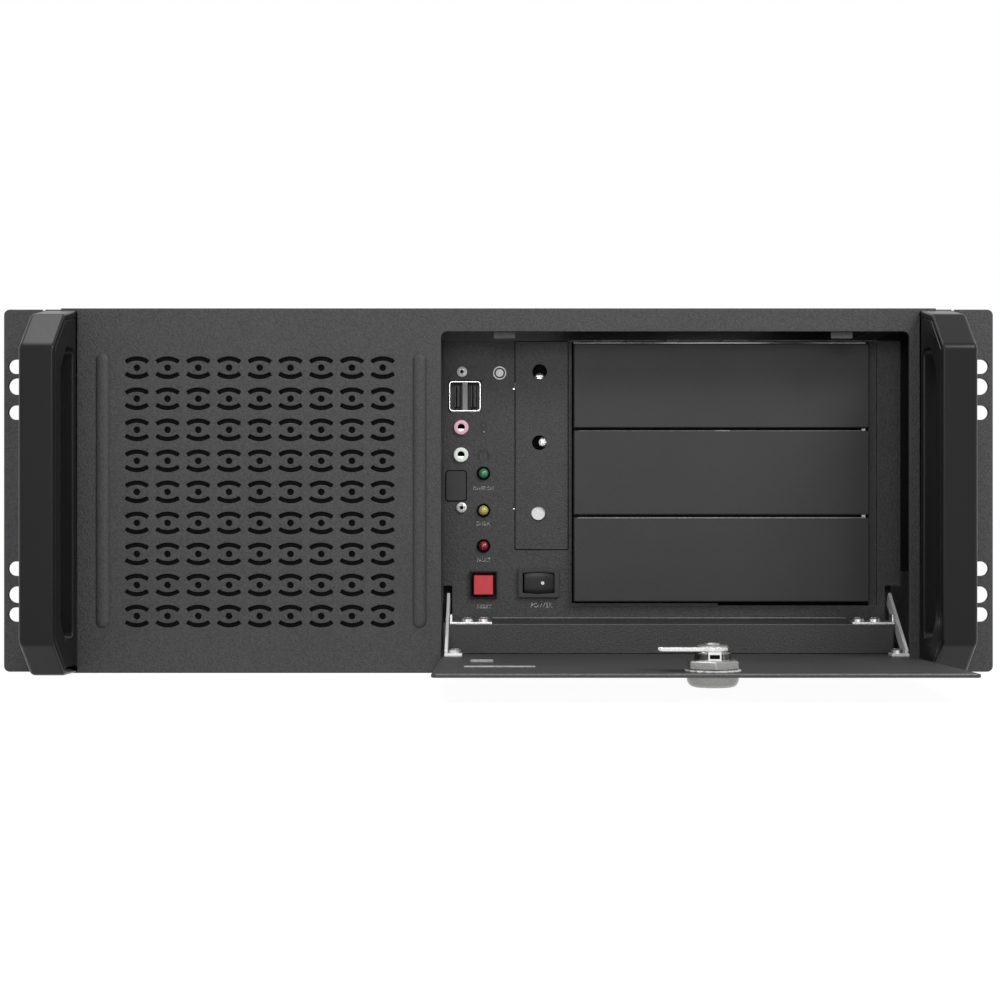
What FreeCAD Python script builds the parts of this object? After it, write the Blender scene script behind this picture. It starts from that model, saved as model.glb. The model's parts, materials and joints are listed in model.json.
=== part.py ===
"""Empty 4U rackmount server case with a drop-down lockable front door.

Frame: millimetres, +Z up, +X to the right seen from the front, +Y from the
front panel to the rear.  The origin is the centre of the rack hole pattern,
in the plane of the ears' rear face, which seats on the rack rails.

The door is drawn shut and then swung to its open stop, where it is at rest.
"""
import FreeCAD, Part
from FreeCAD import Vector, Rotation, Placement
import math
import os

# ---------------------------------------------------------------- sizes
# rack panel
RACK_WIDTH = 482.6          # over the ears
PANEL_SHEET = 2.0
EAR_CORNER_R = 2.8
CASE_WIDTH = 427.0          # folded middle of the panel, and the chassis
CASE_HEIGHT = 178.0
EAR_STEP = 0.6              # the ears are this much lower than the middle, top and bottom
EAR_HEIGHT = CASE_HEIGHT - 2 * EAR_STEP
CASE_DEPTH = 450.0
SHEET = 1.2                 # chassis steel
PANEL_BEND_R = 0.8          # outside of the panel's top and bottom folds
FLANGE = 12.0               # depth of the folded flanges
CUT = 1.0                   # how far a cutter runs past the sheet it cuts
CLEAR = 0.1                 # round a round fitting in its hole
ROUND_END = 0.01            # a round-ended slot's fillet stops this short of half its width

FACE_Y = -PANEL_SHEET
HALF_W = CASE_WIDTH / 2
HALF_H = CASE_HEIGHT / 2
FLOOR = -HALF_H
ROOF = HALF_H

EAR_NOTCH_X = HALF_W + 8.4  # relief notch in the top edge of each ear
EAR_NOTCH_WIDTH = 1.6
EAR_NOTCH_DEPTH = 0.5

RACK_HOLE_X = RACK_WIDTH - 17.5     # centre to centre across the rack
RACK_SLOT_LENGTH = 13.0
RACK_SLOTS = (              # centre to centre up the ear, slot width
    (76.2, 7.0),
    (101.6, 8.0),
    (121.0, 7.0),
)

# vented area of the front panel
VENT_COLUMNS = 9
VENT_ROWS = 9
VENT_PITCH_X = 15.0
VENT_PITCH_Z = 15.15
VENT_CENTRE_X = -117.2      # of the fan, and of the ribs up the panel
VENT_CENTRE_Z = 0.0
VENT_SHIFT = 0.7            # the eyes are centred this much to the right of the fan
VENT_DROP = 0.65            # and this much lower
EYE_ARC_R = 9.7             # centreline radius of an eyelid slot
EYE_ARC_RISE = 4.5          # from the eye's centre to the slot's crown
EYE_SLOT_WIDTH = 2.05
EYE_SLOT_SPAN = 66.0        # degrees
EYE_SLOT_NOSE = 0.3         # how far a slot's ends are pointed
EYE_HOLE_R = 1.6

RIB_X = (-193.0, -38.4)     # embossed stiffening ribs beside the vents
RIB_WIDTH = 6.8
RIB_LENGTH = 134.0
RIB_RISE = 1.6

# door opening in the front panel
OPENING_LEFT = -28.0
OPENING_RIGHT = 200.5
OPENING_TOP = ROOF - 11.4
OPENING_BOTTOM = FLOOR + 5.6
OPENING_CORNER_R = 3.0
CATCH_X = (0.6, 168.5)      # stop tabs under the opening's top edge
CATCH_WIDTH = 11.0
CATCH_DROP = 2.8
CATCH_SHEET = 1.2
CATCH_LAP = 8.0

# recessed inner panel, its ledge and riser
RECESS = 30.0               # from the ears' rear face to the inner panel
INNER_RIGHT = 203.8
INNER_TOP = OPENING_TOP - 1.5
INNER_FLANGE = 16.0
LEDGE_Z = OPENING_BOTTOM + 17.0
RISER_Y = 12.0
RISER_BOTTOM = OPENING_BOTTOM + 2.8
LEDGE_LEFT = -23.5
LEDGE_RIGHT = 196.0
ARM_NOTCH_TOP = LEDGE_Z + 18.4

# door and its swan-neck arms
DOOR_SHEET = 1.5
DOOR_GAP = 0.6              # round the door, at the sides and the top
DOOR_BOTTOM = OPENING_BOTTOM + 6.4
HINGE_Y = 16.0
HINGE_Z = LEDGE_Z + 1.8
OPEN_ANGLE = 88.0
ARM_SHEET = 1.5
ARM_WIDTH = 7.0
ARM_INSET = 1.3             # from the door's side edge to the arm
ARM_FOOT_Z = HINGE_Z + 21.6  # height of the foot's screw on the shut door
ARM_FOOT_LENGTH = 8.5
ARM_TAIL = 17.5             # from the hinge pin to the arm's tail end
PIN_R = 1.5
PIN_PROUD = 0.6             # pin past the arm's outer face
PIN_RUN = 0.08              # running clearance on the hinge pins
BRACKET_SHEET = 1.2
BRACKET_LENGTH = 21.0
BRACKET_DEPTH = 12.0
BRACKET_GAP = 0.4           # between an arm and its bracket's ear
BRACKET_SCREW_Y = RISER_Y + 6.5
SCREW_R = 1.4               # shank of the small sheet screws
ARM_SCREW_HEAD_R = 3.0
BRACKET_SCREW_HEAD_R = 2.9
BRACKET_SCREWS_X = (8.6, 16.8)      # from the bracket's ear

DOOR_LIPS = (               # raised lips on the inside: left, right, height above the hinge
    (-15.1, 16.8, 86.1),
    (-13.1, -2.4, 51.1),
)
LIP_RISE = 0.7
LIP_WIDTH = 1.3

# lock
LOCK_X = 91.2
LOCK_FROM_EDGE = 19.0
LOCK_BARREL_R = 8.0
LOCK_RUN = 0.05
LOCK_HEAD_R = 11.0
LOCK_HEAD_RISE = 4.6
LOCK_RIM = 1.4
LOCK_PLUG_R = 5.6
KEYWAY = (1.4, 7.2)
LOCK_NUT_AF = 20.0
LOCK_NUT_HEIGHT = 3.4
LOCK_BARREL_LENGTH = 8.4
CAM_REACH = 24.0
CAM_WIDTH = 11.0
CAM_SHEET = 1.8
CAM_ROUND = 1.5             # how far the cam's round end stands past its blade
CAM_SCREW_R = 5.1
CAM_SCREW_RISE = 2.0
LOCK_PIN_R = 0.8            # the cam turns on this shank

# handles
HANDLE_X = HALF_W           # over the seam between the ear and the middle
HANDLE_WIDTH = 16.6
HANDLE_CENTRE_Z = -2.0      # of the knees and the grip
HANDLE_BASE_Z = -0.3        # of the base
HANDLE_HALF = 88.2          # at the base
HANDLE_KNEE_HALF = 85.6
HANDLE_FRONT_HALF = 69.0
HANDLE_KNEE = 24.0          # stand-off of the knee from the panel's face
HANDLE_DEPTH = 43.0
HANDLE_BASE = 7.0
HANDLE_BAR = 13.0
HANDLE_FILLET = 1.4

# drive bays
BAY_COUNT = 3
BAY_PITCH = 43.9
BAY_TOP = INNER_TOP - 1.7
BAY_COVER_HEIGHT = 42.6
BAY_LEFT = 37.9
BAY_WIDTH = 149.1
BAY_COVER_PROUD = 5.0
BAY_COVER_WALL = 2.0
BAY_COVER_ROUND = 0.8
BAY_COVER_SKIRT = 8.0       # behind the inner panel's face
BAY_COVER_TAB = 20.0
BAY_COVER_TAB_INSET = 14.0
BAY_STACK = BAY_PITCH * (BAY_COUNT - 1) + BAY_COVER_HEIGHT
BAY_OPENING = (37.0, 191.8, BAY_TOP - BAY_STACK - 2.4, BAY_TOP + 1.1)
CAGE_DEPTH = 170.0
CAGE_SHEET = 1.0
CAGE_FOOT = 10.0
CAGE_SLOT = (30.0, 4.0)
CAGE_SLOTS_Y = (40.0, 120.0)

# controls on the inner panel: x, z, size
PORT_BLOCK = (-17.1, INNER_TOP - 28.1, 16.0, 15.2)
PORT_DEPTH = 15.0
PORT_CLEAR = 0.3
PORT_PROUD = 0.8
PORT_CORNER_R = 1.2
PORT_CELL = (5.4, 12.6)     # one socket's width and height
PORT_PITCH = 8.2
JACKS = {"jack_microphone": (-19.0, INNER_TOP - 43.9), "jack_headphone": (-19.1, INNER_TOP - 57.8)}
JACK_R = 3.8
JACK_BARREL_R = 2.9
JACK_BORE_R = 1.8
JACK_COLLAR = 1.6
JACK_BARREL = 12.0
BLANK_PLATE = (-21.6, INNER_TOP - 73.5, 10.0, 15.0)
LAMPS = {"lamp_power": INNER_TOP - 67.2, "lamp_disk": INNER_TOP - 86.0, "lamp_fault": INNER_TOP - 104.0}
LAMP_X = -7.7
LAMP_R = 2.5
LAMP_BEZEL_R = 3.1
LAMP_PROUD = 1.6
LAMP_CROWN = 1.8
LAMP_LENGTH = 7.6
LAMP_BEZEL = 1.0
RESET = (-7.7, INNER_TOP - 123.7, 13.8, 9.8)
RESET_TRAVEL = 2.0
RESET_RUN = 0.35            # round the key, in its well
RESET_LIP = 2.2
RESET_BEVEL = 0.9
RESET_WELL = 6.0
RESET_KEY_PROUD = 3.4
RESET_KEY_ROUND = 0.6
SWITCH_BODY = 14.0          # behind the inner panel's face
ROCKER = (20.2, INNER_TOP - 122.8, 21.0, 15.0)
ROCKER_KEY = (15.6, 10.8)
ROCKER_TILT = 7.0
ROCKER_LIP = 2.0
ROCKER_PIN_R = 1.0
ROCKER_PIN_Y = RECESS + 3.0
IO_SCREW_R = 1.5
IO_SCREWS = ((-18.6, INNER_TOP - 15.7), (-18.8, INNER_TOP - 84.5))
ACCESS_PLATE = (8.5, 35.0, INNER_TOP - 105.7, INNER_TOP - 0.5)
ACCESS_SHEET = 0.6
ACCESS_LAP = 3.0            # how far the plate laps the hole behind it
ACCESS_HOLES = ((20.8, INNER_TOP - 15.6), (20.6, INNER_TOP - 51.7), (20.1, INNER_TOP - 87.8))
ACCESS_HOLE_R = 3.7
ACCESS_STUDS = ((0.0, -3.3, 2.9), (2.3, 0.5, 2.7), (0.0, 0.3, 3.7))    # off its hole in x, z; head radius
STUD_RISE = 2.3
CHANNEL_INSET = 1.0
CHANNEL_DEPTH = 3.4

# front fan
FAN_SIZE = 120.0
FAN_THICK = 25.0
FAN_BORE_R = 57.5
FAN_HOLES = 105.0
FAN_HOLE_R = 2.2
FAN_BLADES = 7
FAN_BLADE = 1.8
FAN_BLADE_CHORD = 24.0
FAN_TIP_RUN = 1.2
FAN_CORNER_R = 5.0
FAN_Y = 8.4
FAN_FLANGE = 4.0
FAN_HUB_R = 20.0
FAN_STRUT = 3.0
FAN_POST_R = 2.0
FAN_POST_RUN = 0.06
FAN_BOX = 150.0             # side of the bracket that holds the fan and filter
FILTER_THICK = 6.0
FILTER_GAP = 0.3

# rear
AIR_SLOT_PITCH = 7.2
AIR_SLOT_WIDTH = 4.0
SLOT_COUNT = 7
SLOT_PITCH = 20.32
SLOT_WIDTH = 13.0
SLOT_LEFT = -200.0
SLOT_Z = (FLOOR + 13.0, FLOOR + 119.0)
BLANK_WIDTH = 18.2
BLANK_SHEET = 0.9
BLANK_TAB = 11.0
BLANK_LAP = 5.0
IO_WINDOW = (-50.0, 108.75, FLOOR + 9.0, FLOOR + 53.45)
PSU_WINDOW = (121.0, 203.0, FLOOR + 15.0, FLOOR + 155.0)
REAR_FANS_X = (-12.0, 76.0)
REAR_FAN_Z = ROOF - 63.0
REAR_FAN_SIZE = 80.0
REAR_LIP = 10.0
LID_INSET = 14.0            # from the case's side to the ends of the rear lips
LID_GAP = 0.4               # between the lid and the front panel's flange

# chassis
SLIDE_HOLES_Y = (60.0, 180.0, 300.0, 400.0)
SLIDE_HOLES_Z = (-40.0, 40.0)
SLIDE_HOLE_R = 2.2
STANDOFFS_X = (-198.0, -45.0, 30.0)
STANDOFFS_Y = (CASE_DEPTH - 220.0, CASE_DEPTH - 120.0, CASE_DEPTH - 20.0)
STANDOFF_AF = 5.0
STANDOFF_HEIGHT = 6.5
CROSSBAR_Y = 235.0
CROSSBAR_Z = ROOF - 19.0
CROSSBAR_WIDTH = 24.0
CROSSBAR_LEG = 14.0
CROSSBAR_END = 30.0

# derived
DOOR_LEFT = OPENING_LEFT + DOOR_GAP
DOOR_RIGHT = OPENING_RIGHT - DOOR_GAP
DOOR_TOP = OPENING_TOP - DOOR_GAP
DOOR_BACK = FACE_Y + DOOR_SHEET
INNER_BACK = RECESS + SHEET
ARM_X = (DOOR_LEFT + ARM_INSET, DOOR_RIGHT - ARM_INSET - ARM_SHEET)
HINGE = Vector(0, HINGE_Y, HINGE_Z)
LOCK_Z = DOOR_TOP - LOCK_FROM_EDGE


# ---------------------------------------------------------------- helpers
def box(x0, x1, y0, y1, z0, z1):
    return Part.makeBox(x1 - x0, y1 - y0, z1 - z0, Vector(x0, y0, z0))


def rod(x, y, z, r, length, axis=(0, 1, 0)):
    return Part.makeCylinder(r, length, Vector(x, y, z), Vector(*axis))


def fuse(shapes):
    first, *rest = shapes
    return first.fuse(rest).removeSplitter() if rest else first


def prism(wire, direction):
    return Part.Face(wire).extrude(Vector(*direction))


def rounded(x0, x1, z0, z1, r, y0, y1):
    """A block through Y with rounded corners in the XZ plane."""
    block = box(x0, x1, y0, y1, z0, z1)
    edges = [e for e in block.Edges if abs(e.tangentAt(e.FirstParameter).y) > 0.9]
    return block.makeFillet(r, edges)


def hex_prism(x, y, z, across_flats, length, axis=(0, 1, 0)):
    """A hexagonal bar from (x, y, z) along the axis."""
    corner = across_flats / 2 / math.cos(math.radians(30))
    turns = [math.radians(60 * k) for k in range(7)]
    points = [Vector(corner * math.cos(t), corner * math.sin(t), 0) for t in turns]
    bar = Part.Face(Part.makePolygon(points)).extrude(Vector(0, 0, length))
    bar.Placement = Placement(Vector(x, y, z), Rotation(Vector(0, 0, 1), Vector(*axis)))
    return bar


def dome(x, y, z, r, rise, axis=(0, -1, 0)):
    """A spherical cap on a disc of radius r at (x, y, z), crowned along the axis."""
    ball_r = (r * r + rise * rise) / (2 * rise)
    way = Vector(*axis)
    base = Vector(x, y, z)
    ball = Part.makeSphere(ball_r, base - way * (ball_r - rise))
    keep = Part.makeCylinder(ball_r + 1, rise + 1, base, way)
    return ball.common(keep)


def pan_screw(x, y, z, head_r, head, shank_r, shank, axis=(0, -1, 0)):
    """A pan-head screw whose head seats at (x, y, z) and faces along the axis."""
    way = Vector(*axis)
    under = Vector(x, y, z)
    rim = 0.35 * head
    body = Part.makeCylinder(head_r, rim, under, way)
    top = under + way * rim
    crown = dome(top.x, top.y, top.z, head_r, head - rim, axis)
    stem = Part.makeCylinder(shank_r, shank, under, way * -1)
    return fuse([body, crown, stem])


def opened(shape):
    """The shut door's piece, swung down to the open stop."""
    turned = shape.copy()
    turned.rotate(HINGE, Vector(1, 0, 0), OPEN_ANGLE)
    return turned


PARTS = {}


def keep(name, *solids):
    shape = solids[0] if len(solids) == 1 else Part.makeCompound(list(solids))
    PARTS[name] = shape
    return shape


# ---------------------------------------------------------------- front panel
def eye_slots():
    """One eye of the vent pattern about the origin: two lids and a pupil."""
    half = math.radians(EYE_SLOT_SPAN / 2)
    centre_z = EYE_ARC_RISE - EYE_ARC_R
    outer = EYE_ARC_R + EYE_SLOT_WIDTH / 2
    inner = EYE_ARC_R - EYE_SLOT_WIDTH / 2

    def at(radius, turn):
        return Vector(radius * math.sin(turn), 0, centre_z + radius * math.cos(turn))

    nose = half + EYE_SLOT_NOSE / EYE_ARC_R
    edges = [
        Part.Arc(at(outer, -half), at(outer, 0), at(outer, half)).toShape(),
        Part.makeLine(at(outer, half), at(EYE_ARC_R, nose)),
        Part.makeLine(at(EYE_ARC_R, nose), at(inner, half)),
        Part.Arc(at(inner, half), at(inner, 0), at(inner, -half)).toShape(),
        Part.makeLine(at(inner, -half), at(EYE_ARC_R, -nose)),
        Part.makeLine(at(EYE_ARC_R, -nose), at(outer, -half)),
    ]
    depth = PANEL_SHEET + 2 * CUT
    lid = prism(Part.Wire(edges), (0, depth, 0))
    lid.translate(Vector(0, FACE_Y - CUT, 0))
    lower = lid.mirror(Vector(0, 0, 0), Vector(0, 0, 1))
    pupil = rod(0, FACE_Y - CUT, 0, EYE_HOLE_R, depth)
    return [lid, lower, pupil]


def vent_cutters():
    cutters = []
    unit = eye_slots()
    for column in range(VENT_COLUMNS):
        for row in range(VENT_ROWS):
            x = VENT_CENTRE_X + VENT_SHIFT + (column - (VENT_COLUMNS - 1) / 2) * VENT_PITCH_X
            z = VENT_CENTRE_Z - VENT_DROP + (row - (VENT_ROWS - 1) / 2) * VENT_PITCH_Z
            for shape in unit:
                piece = shape.copy()
                piece.translate(Vector(x, 0, z))
                cutters.append(piece)
    return cutters


def rack_slot_cutters():
    cutters = []
    for side in (-1, 1):
        for spacing, width in RACK_SLOTS:
            for end in (-1, 1):
                x, z = side * RACK_HOLE_X / 2, end * spacing / 2
                half = RACK_SLOT_LENGTH / 2
                cutters.append(rounded(x - half, x + half, z - width / 2, z + width / 2,
                                       width / 2 - ROUND_END, FACE_Y - CUT, CUT))
    return cutters


def rib(x):
    """A pressed rib: a long half-round swelling with rounded ends."""
    straight = RIB_LENGTH - RIB_WIDTH
    r = (RIB_WIDTH ** 2 / 4 + RIB_RISE ** 2) / (2 * RIB_RISE)
    y = FACE_Y - RIB_RISE + r
    low, high = VENT_CENTRE_Z - straight / 2, VENT_CENTRE_Z + straight / 2
    bar = Part.makeCylinder(r, straight, Vector(x, y, low), Vector(0, 0, 1))
    balls = [Part.makeSphere(r, Vector(x, y, z)) for z in (low, high)]
    solid = fuse([bar, *balls])
    return solid.common(box(x - r, x + r, FACE_Y - RIB_RISE - 1, FACE_Y + 0.2, low - r, high + r))


def front_panel():
    reach = max(EAR_HEIGHT, CASE_HEIGHT)
    whole = rounded(-RACK_WIDTH / 2, RACK_WIDTH / 2, -EAR_HEIGHT / 2, EAR_HEIGHT / 2, EAR_CORNER_R, FACE_Y, 0)
    ears = whole.cut([box(-HALF_W, HALF_W, FACE_Y - CUT, CUT, -reach, reach), *ear_notches()])
    middle = box(-HALF_W, HALF_W, FACE_Y, 0, FLOOR, ROOF)
    folds = [e for e in middle.Edges if abs(e.CenterOfMass.y - FACE_Y) < 0.01 and abs(e.CenterOfMass.x) < 1]
    middle = middle.makeFillet(PANEL_BEND_R, folds)
    top_flange = box(-HALF_W, HALF_W, 0, FLANGE, ROOF - SHEET, ROOF)
    bottom_flange = box(-HALF_W + 3, OPENING_LEFT - 2, 0, FLANGE, FLOOR + SHEET, FLOOR + 2 * SHEET)
    plate = fuse([*ears.Solids, middle, top_flange, bottom_flange, *[rib(x) for x in RIB_X]])
    opening = fuse([
        rounded(OPENING_LEFT, OPENING_RIGHT, OPENING_BOTTOM, OPENING_TOP, OPENING_CORNER_R, FACE_Y - CUT, CUT),
        box(OPENING_LEFT, OPENING_RIGHT, FACE_Y - CUT, CUT, OPENING_BOTTOM, 0),
    ])
    plate = fuse([plate.cut(opening)] + [catch_tab(x) for x in CATCH_X])
    return plate.cut(vent_cutters() + rack_slot_cutters())


def ear_notches():
    half = EAR_NOTCH_WIDTH / 2
    top = EAR_HEIGHT / 2
    return [box(x - half, x + half, FACE_Y - CUT, CUT, top - EAR_NOTCH_DEPTH, top + CUT)
            for x in (-EAR_NOTCH_X, EAR_NOTCH_X)]


def catch_tab(x):
    """A stop for the shut door, behind the opening's top edge."""
    half = CATCH_WIDTH / 2
    return box(x - half, x + half, 0, CATCH_SHEET, OPENING_TOP - CATCH_DROP, OPENING_TOP + CATCH_LAP)


# ---------------------------------------------------------------- inner panel
def inner_panel():
    """Recess wall with the ledge and riser folded from its lower edge."""
    left = OPENING_LEFT - SHEET
    face = box(left, INNER_RIGHT, RECESS, INNER_BACK, LEDGE_Z - SHEET, INNER_TOP)
    lower = box(left, INNER_RIGHT, RECESS, INNER_BACK, RISER_BOTTOM, LEDGE_Z - SHEET)
    ledge = box(LEDGE_LEFT, LEDGE_RIGHT, RISER_Y, INNER_BACK, LEDGE_Z - SHEET, LEDGE_Z)
    riser = box(LEDGE_LEFT, LEDGE_RIGHT, RISER_Y, RISER_Y + SHEET, RISER_BOTTOM, LEDGE_Z)
    left_wall = box(left, OPENING_LEFT, 0, INNER_BACK, RISER_BOTTOM, INNER_TOP)
    right_flange = box(INNER_RIGHT - SHEET, INNER_RIGHT, RECESS, RECESS + INNER_FLANGE, ARM_NOTCH_TOP, INNER_TOP)
    shell = fuse([face, lower, ledge, riser, left_wall, right_flange])
    start, end, depth = RECESS - CUT, INNER_BACK + CUT, SHEET + 2 * CUT
    shell = shell.cut([
        box(OPENING_LEFT, LEDGE_LEFT, start, end, RISER_BOTTOM - CUT, ARM_NOTCH_TOP),
        box(LEDGE_RIGHT, INNER_RIGHT + CUT, start, end, RISER_BOTTOM - CUT, ARM_NOTCH_TOP),
    ])
    x0, x1, z0, z1 = BAY_OPENING
    cutters = [box(x0, x1, start, end, z0, z1)]
    cutters += [block_hole(PORT_BLOCK, PORT_CLEAR), block_hole(RESET[:3] + RESET[2:3], -1.0)]
    cutters += [block_hole(ROCKER, -1.2)]
    cutters += [rod(x, start, z, JACK_BARREL_R + CLEAR, depth) for x, z in JACKS.values()]
    cutters += [rod(LAMP_X, start, z, LAMP_R + CLEAR, depth) for z in LAMPS.values()]
    cutters += [rod(x, start, z, IO_SCREW_R, depth) for x, z in IO_SCREWS]
    cutters += [rod(x, BRACKET_SCREW_Y, LEDGE_Z - SHEET - CUT, SCREW_R, depth, (0, 0, 1))
                for side in (-1, 1) for x in bracket_screw_x(side)]
    ax0, ax1, az0, az1 = ACCESS_PLATE
    cutters += [box(ax0 + ACCESS_LAP, ax1 - ACCESS_LAP, start, end, az0 + ACCESS_LAP, az1 - ACCESS_LAP)]
    return shell.cut(cutters)


def block_hole(block, grow):
    x, z, w, h = block
    return box(x - w / 2 - grow, x + w / 2 + grow, RECESS - CUT, INNER_BACK + CUT,
               z - h / 2 - grow, z + h / 2 + grow)


def access_plate():
    x0, x1, z0, z1 = ACCESS_PLATE
    front = RECESS - ACCESS_SHEET
    plate = box(x0, x1, front, RECESS, z0, z1)
    return plate.cut([rod(x, front - CUT, z, ACCESS_HOLE_R, ACCESS_SHEET + 2 * CUT) for x, z in ACCESS_HOLES])


def access_channel():
    """Folded channel behind the access plate, and the screws seen through the plate's holes."""
    x0, x1, z0, z1 = ACCESS_PLATE
    x0, x1, z0, z1 = x0 + CHANNEL_INSET, x1 - CHANNEL_INSET, z0 + CHANNEL_INSET, z1 - CHANNEL_INSET
    back = INNER_BACK + CHANNEL_DEPTH
    web = back - SHEET
    channel = box(x0, x1, INNER_BACK, back, z0, z1)
    channel = channel.cut(box(x0 + SHEET, x1 - SHEET, INNER_BACK - CUT, web, z0 - CUT, z1 + CUT))
    places = [(x + dx, z + dz, r) for (x, z), (dx, dz, r) in zip(ACCESS_HOLES, ACCESS_STUDS)]
    studs = [pan_screw(x, web, z, r, STUD_RISE, SCREW_R, SHEET) for x, z, r in places]
    return channel.cut([rod(x, web - CUT, z, SCREW_R, SHEET + 2 * CUT) for x, z, _ in places]), studs


def bay_cover(index):
    """A moulded blanking cover: a dished tray with side skirts and snap tabs."""
    top = BAY_TOP - index * BAY_PITCH
    x0, x1, z0, z1 = BAY_LEFT, BAY_LEFT + BAY_WIDTH, top - BAY_COVER_HEIGHT, top
    front = RECESS - BAY_COVER_PROUD
    back = RECESS + BAY_COVER_SKIRT
    shell = box(x0, x1, front, back, z0, z1)
    face_edges = [e for e in shell.Edges if abs(e.CenterOfMass.y - front) < 0.01]
    shell = shell.makeFillet(BAY_COVER_ROUND, face_edges)
    wall = BAY_COVER_WALL
    shell = shell.cut(box(x0 + wall, x1 - wall, front + wall, back + CUT, z0 + wall, z1 - wall))
    tabs = []
    for side, edge in ((-1, x0), (1, x1)):
        inner = edge - side * wall
        a, b = sorted((edge, inner))
        tabs.append(box(a, b, back, RECESS + BAY_COVER_TAB, z0 + BAY_COVER_TAB_INSET, z1 - BAY_COVER_TAB_INSET))
    return fuse([shell, *tabs])


def drive_cage():
    """Open-ended cage of folded sheet that stands on the chassis floor."""
    x0, x1, z0, z1 = BAY_OPENING
    y0, y1 = INNER_BACK, INNER_BACK + CAGE_DEPTH
    t = CAGE_SHEET
    foot = FLOOR + SHEET
    sides = [box(x0 - t, x0, y0, y1, foot, z1 + t), box(x1, x1 + t, y0, y1, foot, z1 + t)]
    decks = [box(x0, x1, y0, y1, z0 - t, z0), box(x0, x1, y0, y1, z1, z1 + t)]
    feet = [box(x0 - CAGE_FOOT, x0, y0, y1, foot, foot + t), box(x1, x1 + CAGE_FOOT, y0, y1, foot, foot + t)]
    cage = fuse(sides + decks + feet)
    slots = []
    half, rise = CAGE_SLOT[0] / 2, CAGE_SLOT[1] / 2
    for row in range(BAY_COUNT):
        z = BAY_TOP - row * BAY_PITCH - BAY_COVER_HEIGHT / 2
        for y in (y0 + along for along in CAGE_SLOTS_Y):
            slots.append(box(x0 - t - CUT, x0 + CUT, y - half, y + half, z - rise, z + rise))
            slots.append(box(x1 - CUT, x1 + t + CUT, y - half, y + half, z - rise, z + rise))
    return cage.cut(slots)


# ---------------------------------------------------------------- controls
def port_block():
    """Twin upright sockets in one plated shell, and their tongues."""
    x, z, w, h = PORT_BLOCK
    front = RECESS - PORT_PROUD
    floor = front + PORT_DEPTH - 3
    shell = rounded(x - w / 2, x + w / 2, z - h / 2, z + h / 2, PORT_CORNER_R, front, front + PORT_DEPTH)
    half_w, half_h = PORT_CELL[0] / 2, PORT_CELL[1] / 2
    cells, tongues = [], []
    for side in (-1, 1):
        cx = x + side * PORT_PITCH / 2
        cells.append(box(cx - half_w, cx + half_w, front - CUT, floor, z - half_h, z + half_h))
        tongues.append(box(cx + 0.2, cx + 2.0, front + 1, floor, z - half_h + 0.7, z + half_h - 0.7))
    return shell.cut(cells), Part.makeCompound(tongues)


def jack(x, z):
    """Panel jack: a coloured collar over a threaded barrel."""
    front = RECESS - JACK_COLLAR
    collar = rod(x, front, z, JACK_R, JACK_COLLAR)
    collar = collar.makeFillet(0.5, [e for e in collar.Edges if abs(e.CenterOfMass.y - front) < 0.01
                                     and len(e.Vertexes) == 1])
    barrel = rod(x, RECESS, z, JACK_BARREL_R, JACK_BARREL)
    return fuse([collar, barrel]).cut(rod(x, front - CUT, z, JACK_BORE_R, JACK_BARREL))


def lamp(z):
    """Round indicator: the lens dome and the clip that holds it."""
    front = RECESS - LAMP_PROUD
    lens = fuse([rod(LAMP_X, front, z, LAMP_R, LAMP_LENGTH), dome(LAMP_X, front, z, LAMP_R, LAMP_CROWN)])
    clip = rod(LAMP_X, RECESS - LAMP_BEZEL, z, LAMP_BEZEL_R, LAMP_BEZEL)
    clip = clip.cut(rod(LAMP_X, front - CUT, z, LAMP_R, LAMP_LENGTH))
    return lens, clip


def reset_switch():
    """Bevelled housing with a well, and the key that presses into it."""
    x, z, size, key = RESET
    outer, front = size / 2, RECESS - RESET_LIP
    lip = box(x - outer, x + outer, front, RECESS, z - outer, z + outer)
    lip = lip.makeChamfer(RESET_BEVEL, [e for e in lip.Edges if abs(e.CenterOfMass.y - front) < 0.01])
    stem = outer - 1.2
    body = box(x - stem, x + stem, RECESS, RECESS + SWITCH_BODY, z - stem, z + stem)
    well, floor = key / 2 + RESET_RUN, RECESS + RESET_WELL
    housing = fuse([lip, body]).cut(box(x - well, x + well, front - CUT, floor, z - well, z + well))
    half, face = key / 2, RECESS - RESET_KEY_PROUD
    cap = box(x - half, x + half, face, floor - RESET_TRAVEL - 0.3, z - half, z + half)
    cap = cap.makeFillet(RESET_KEY_ROUND, [e for e in cap.Edges if abs(e.CenterOfMass.y - face) < 0.01])
    return housing, cap


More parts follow.
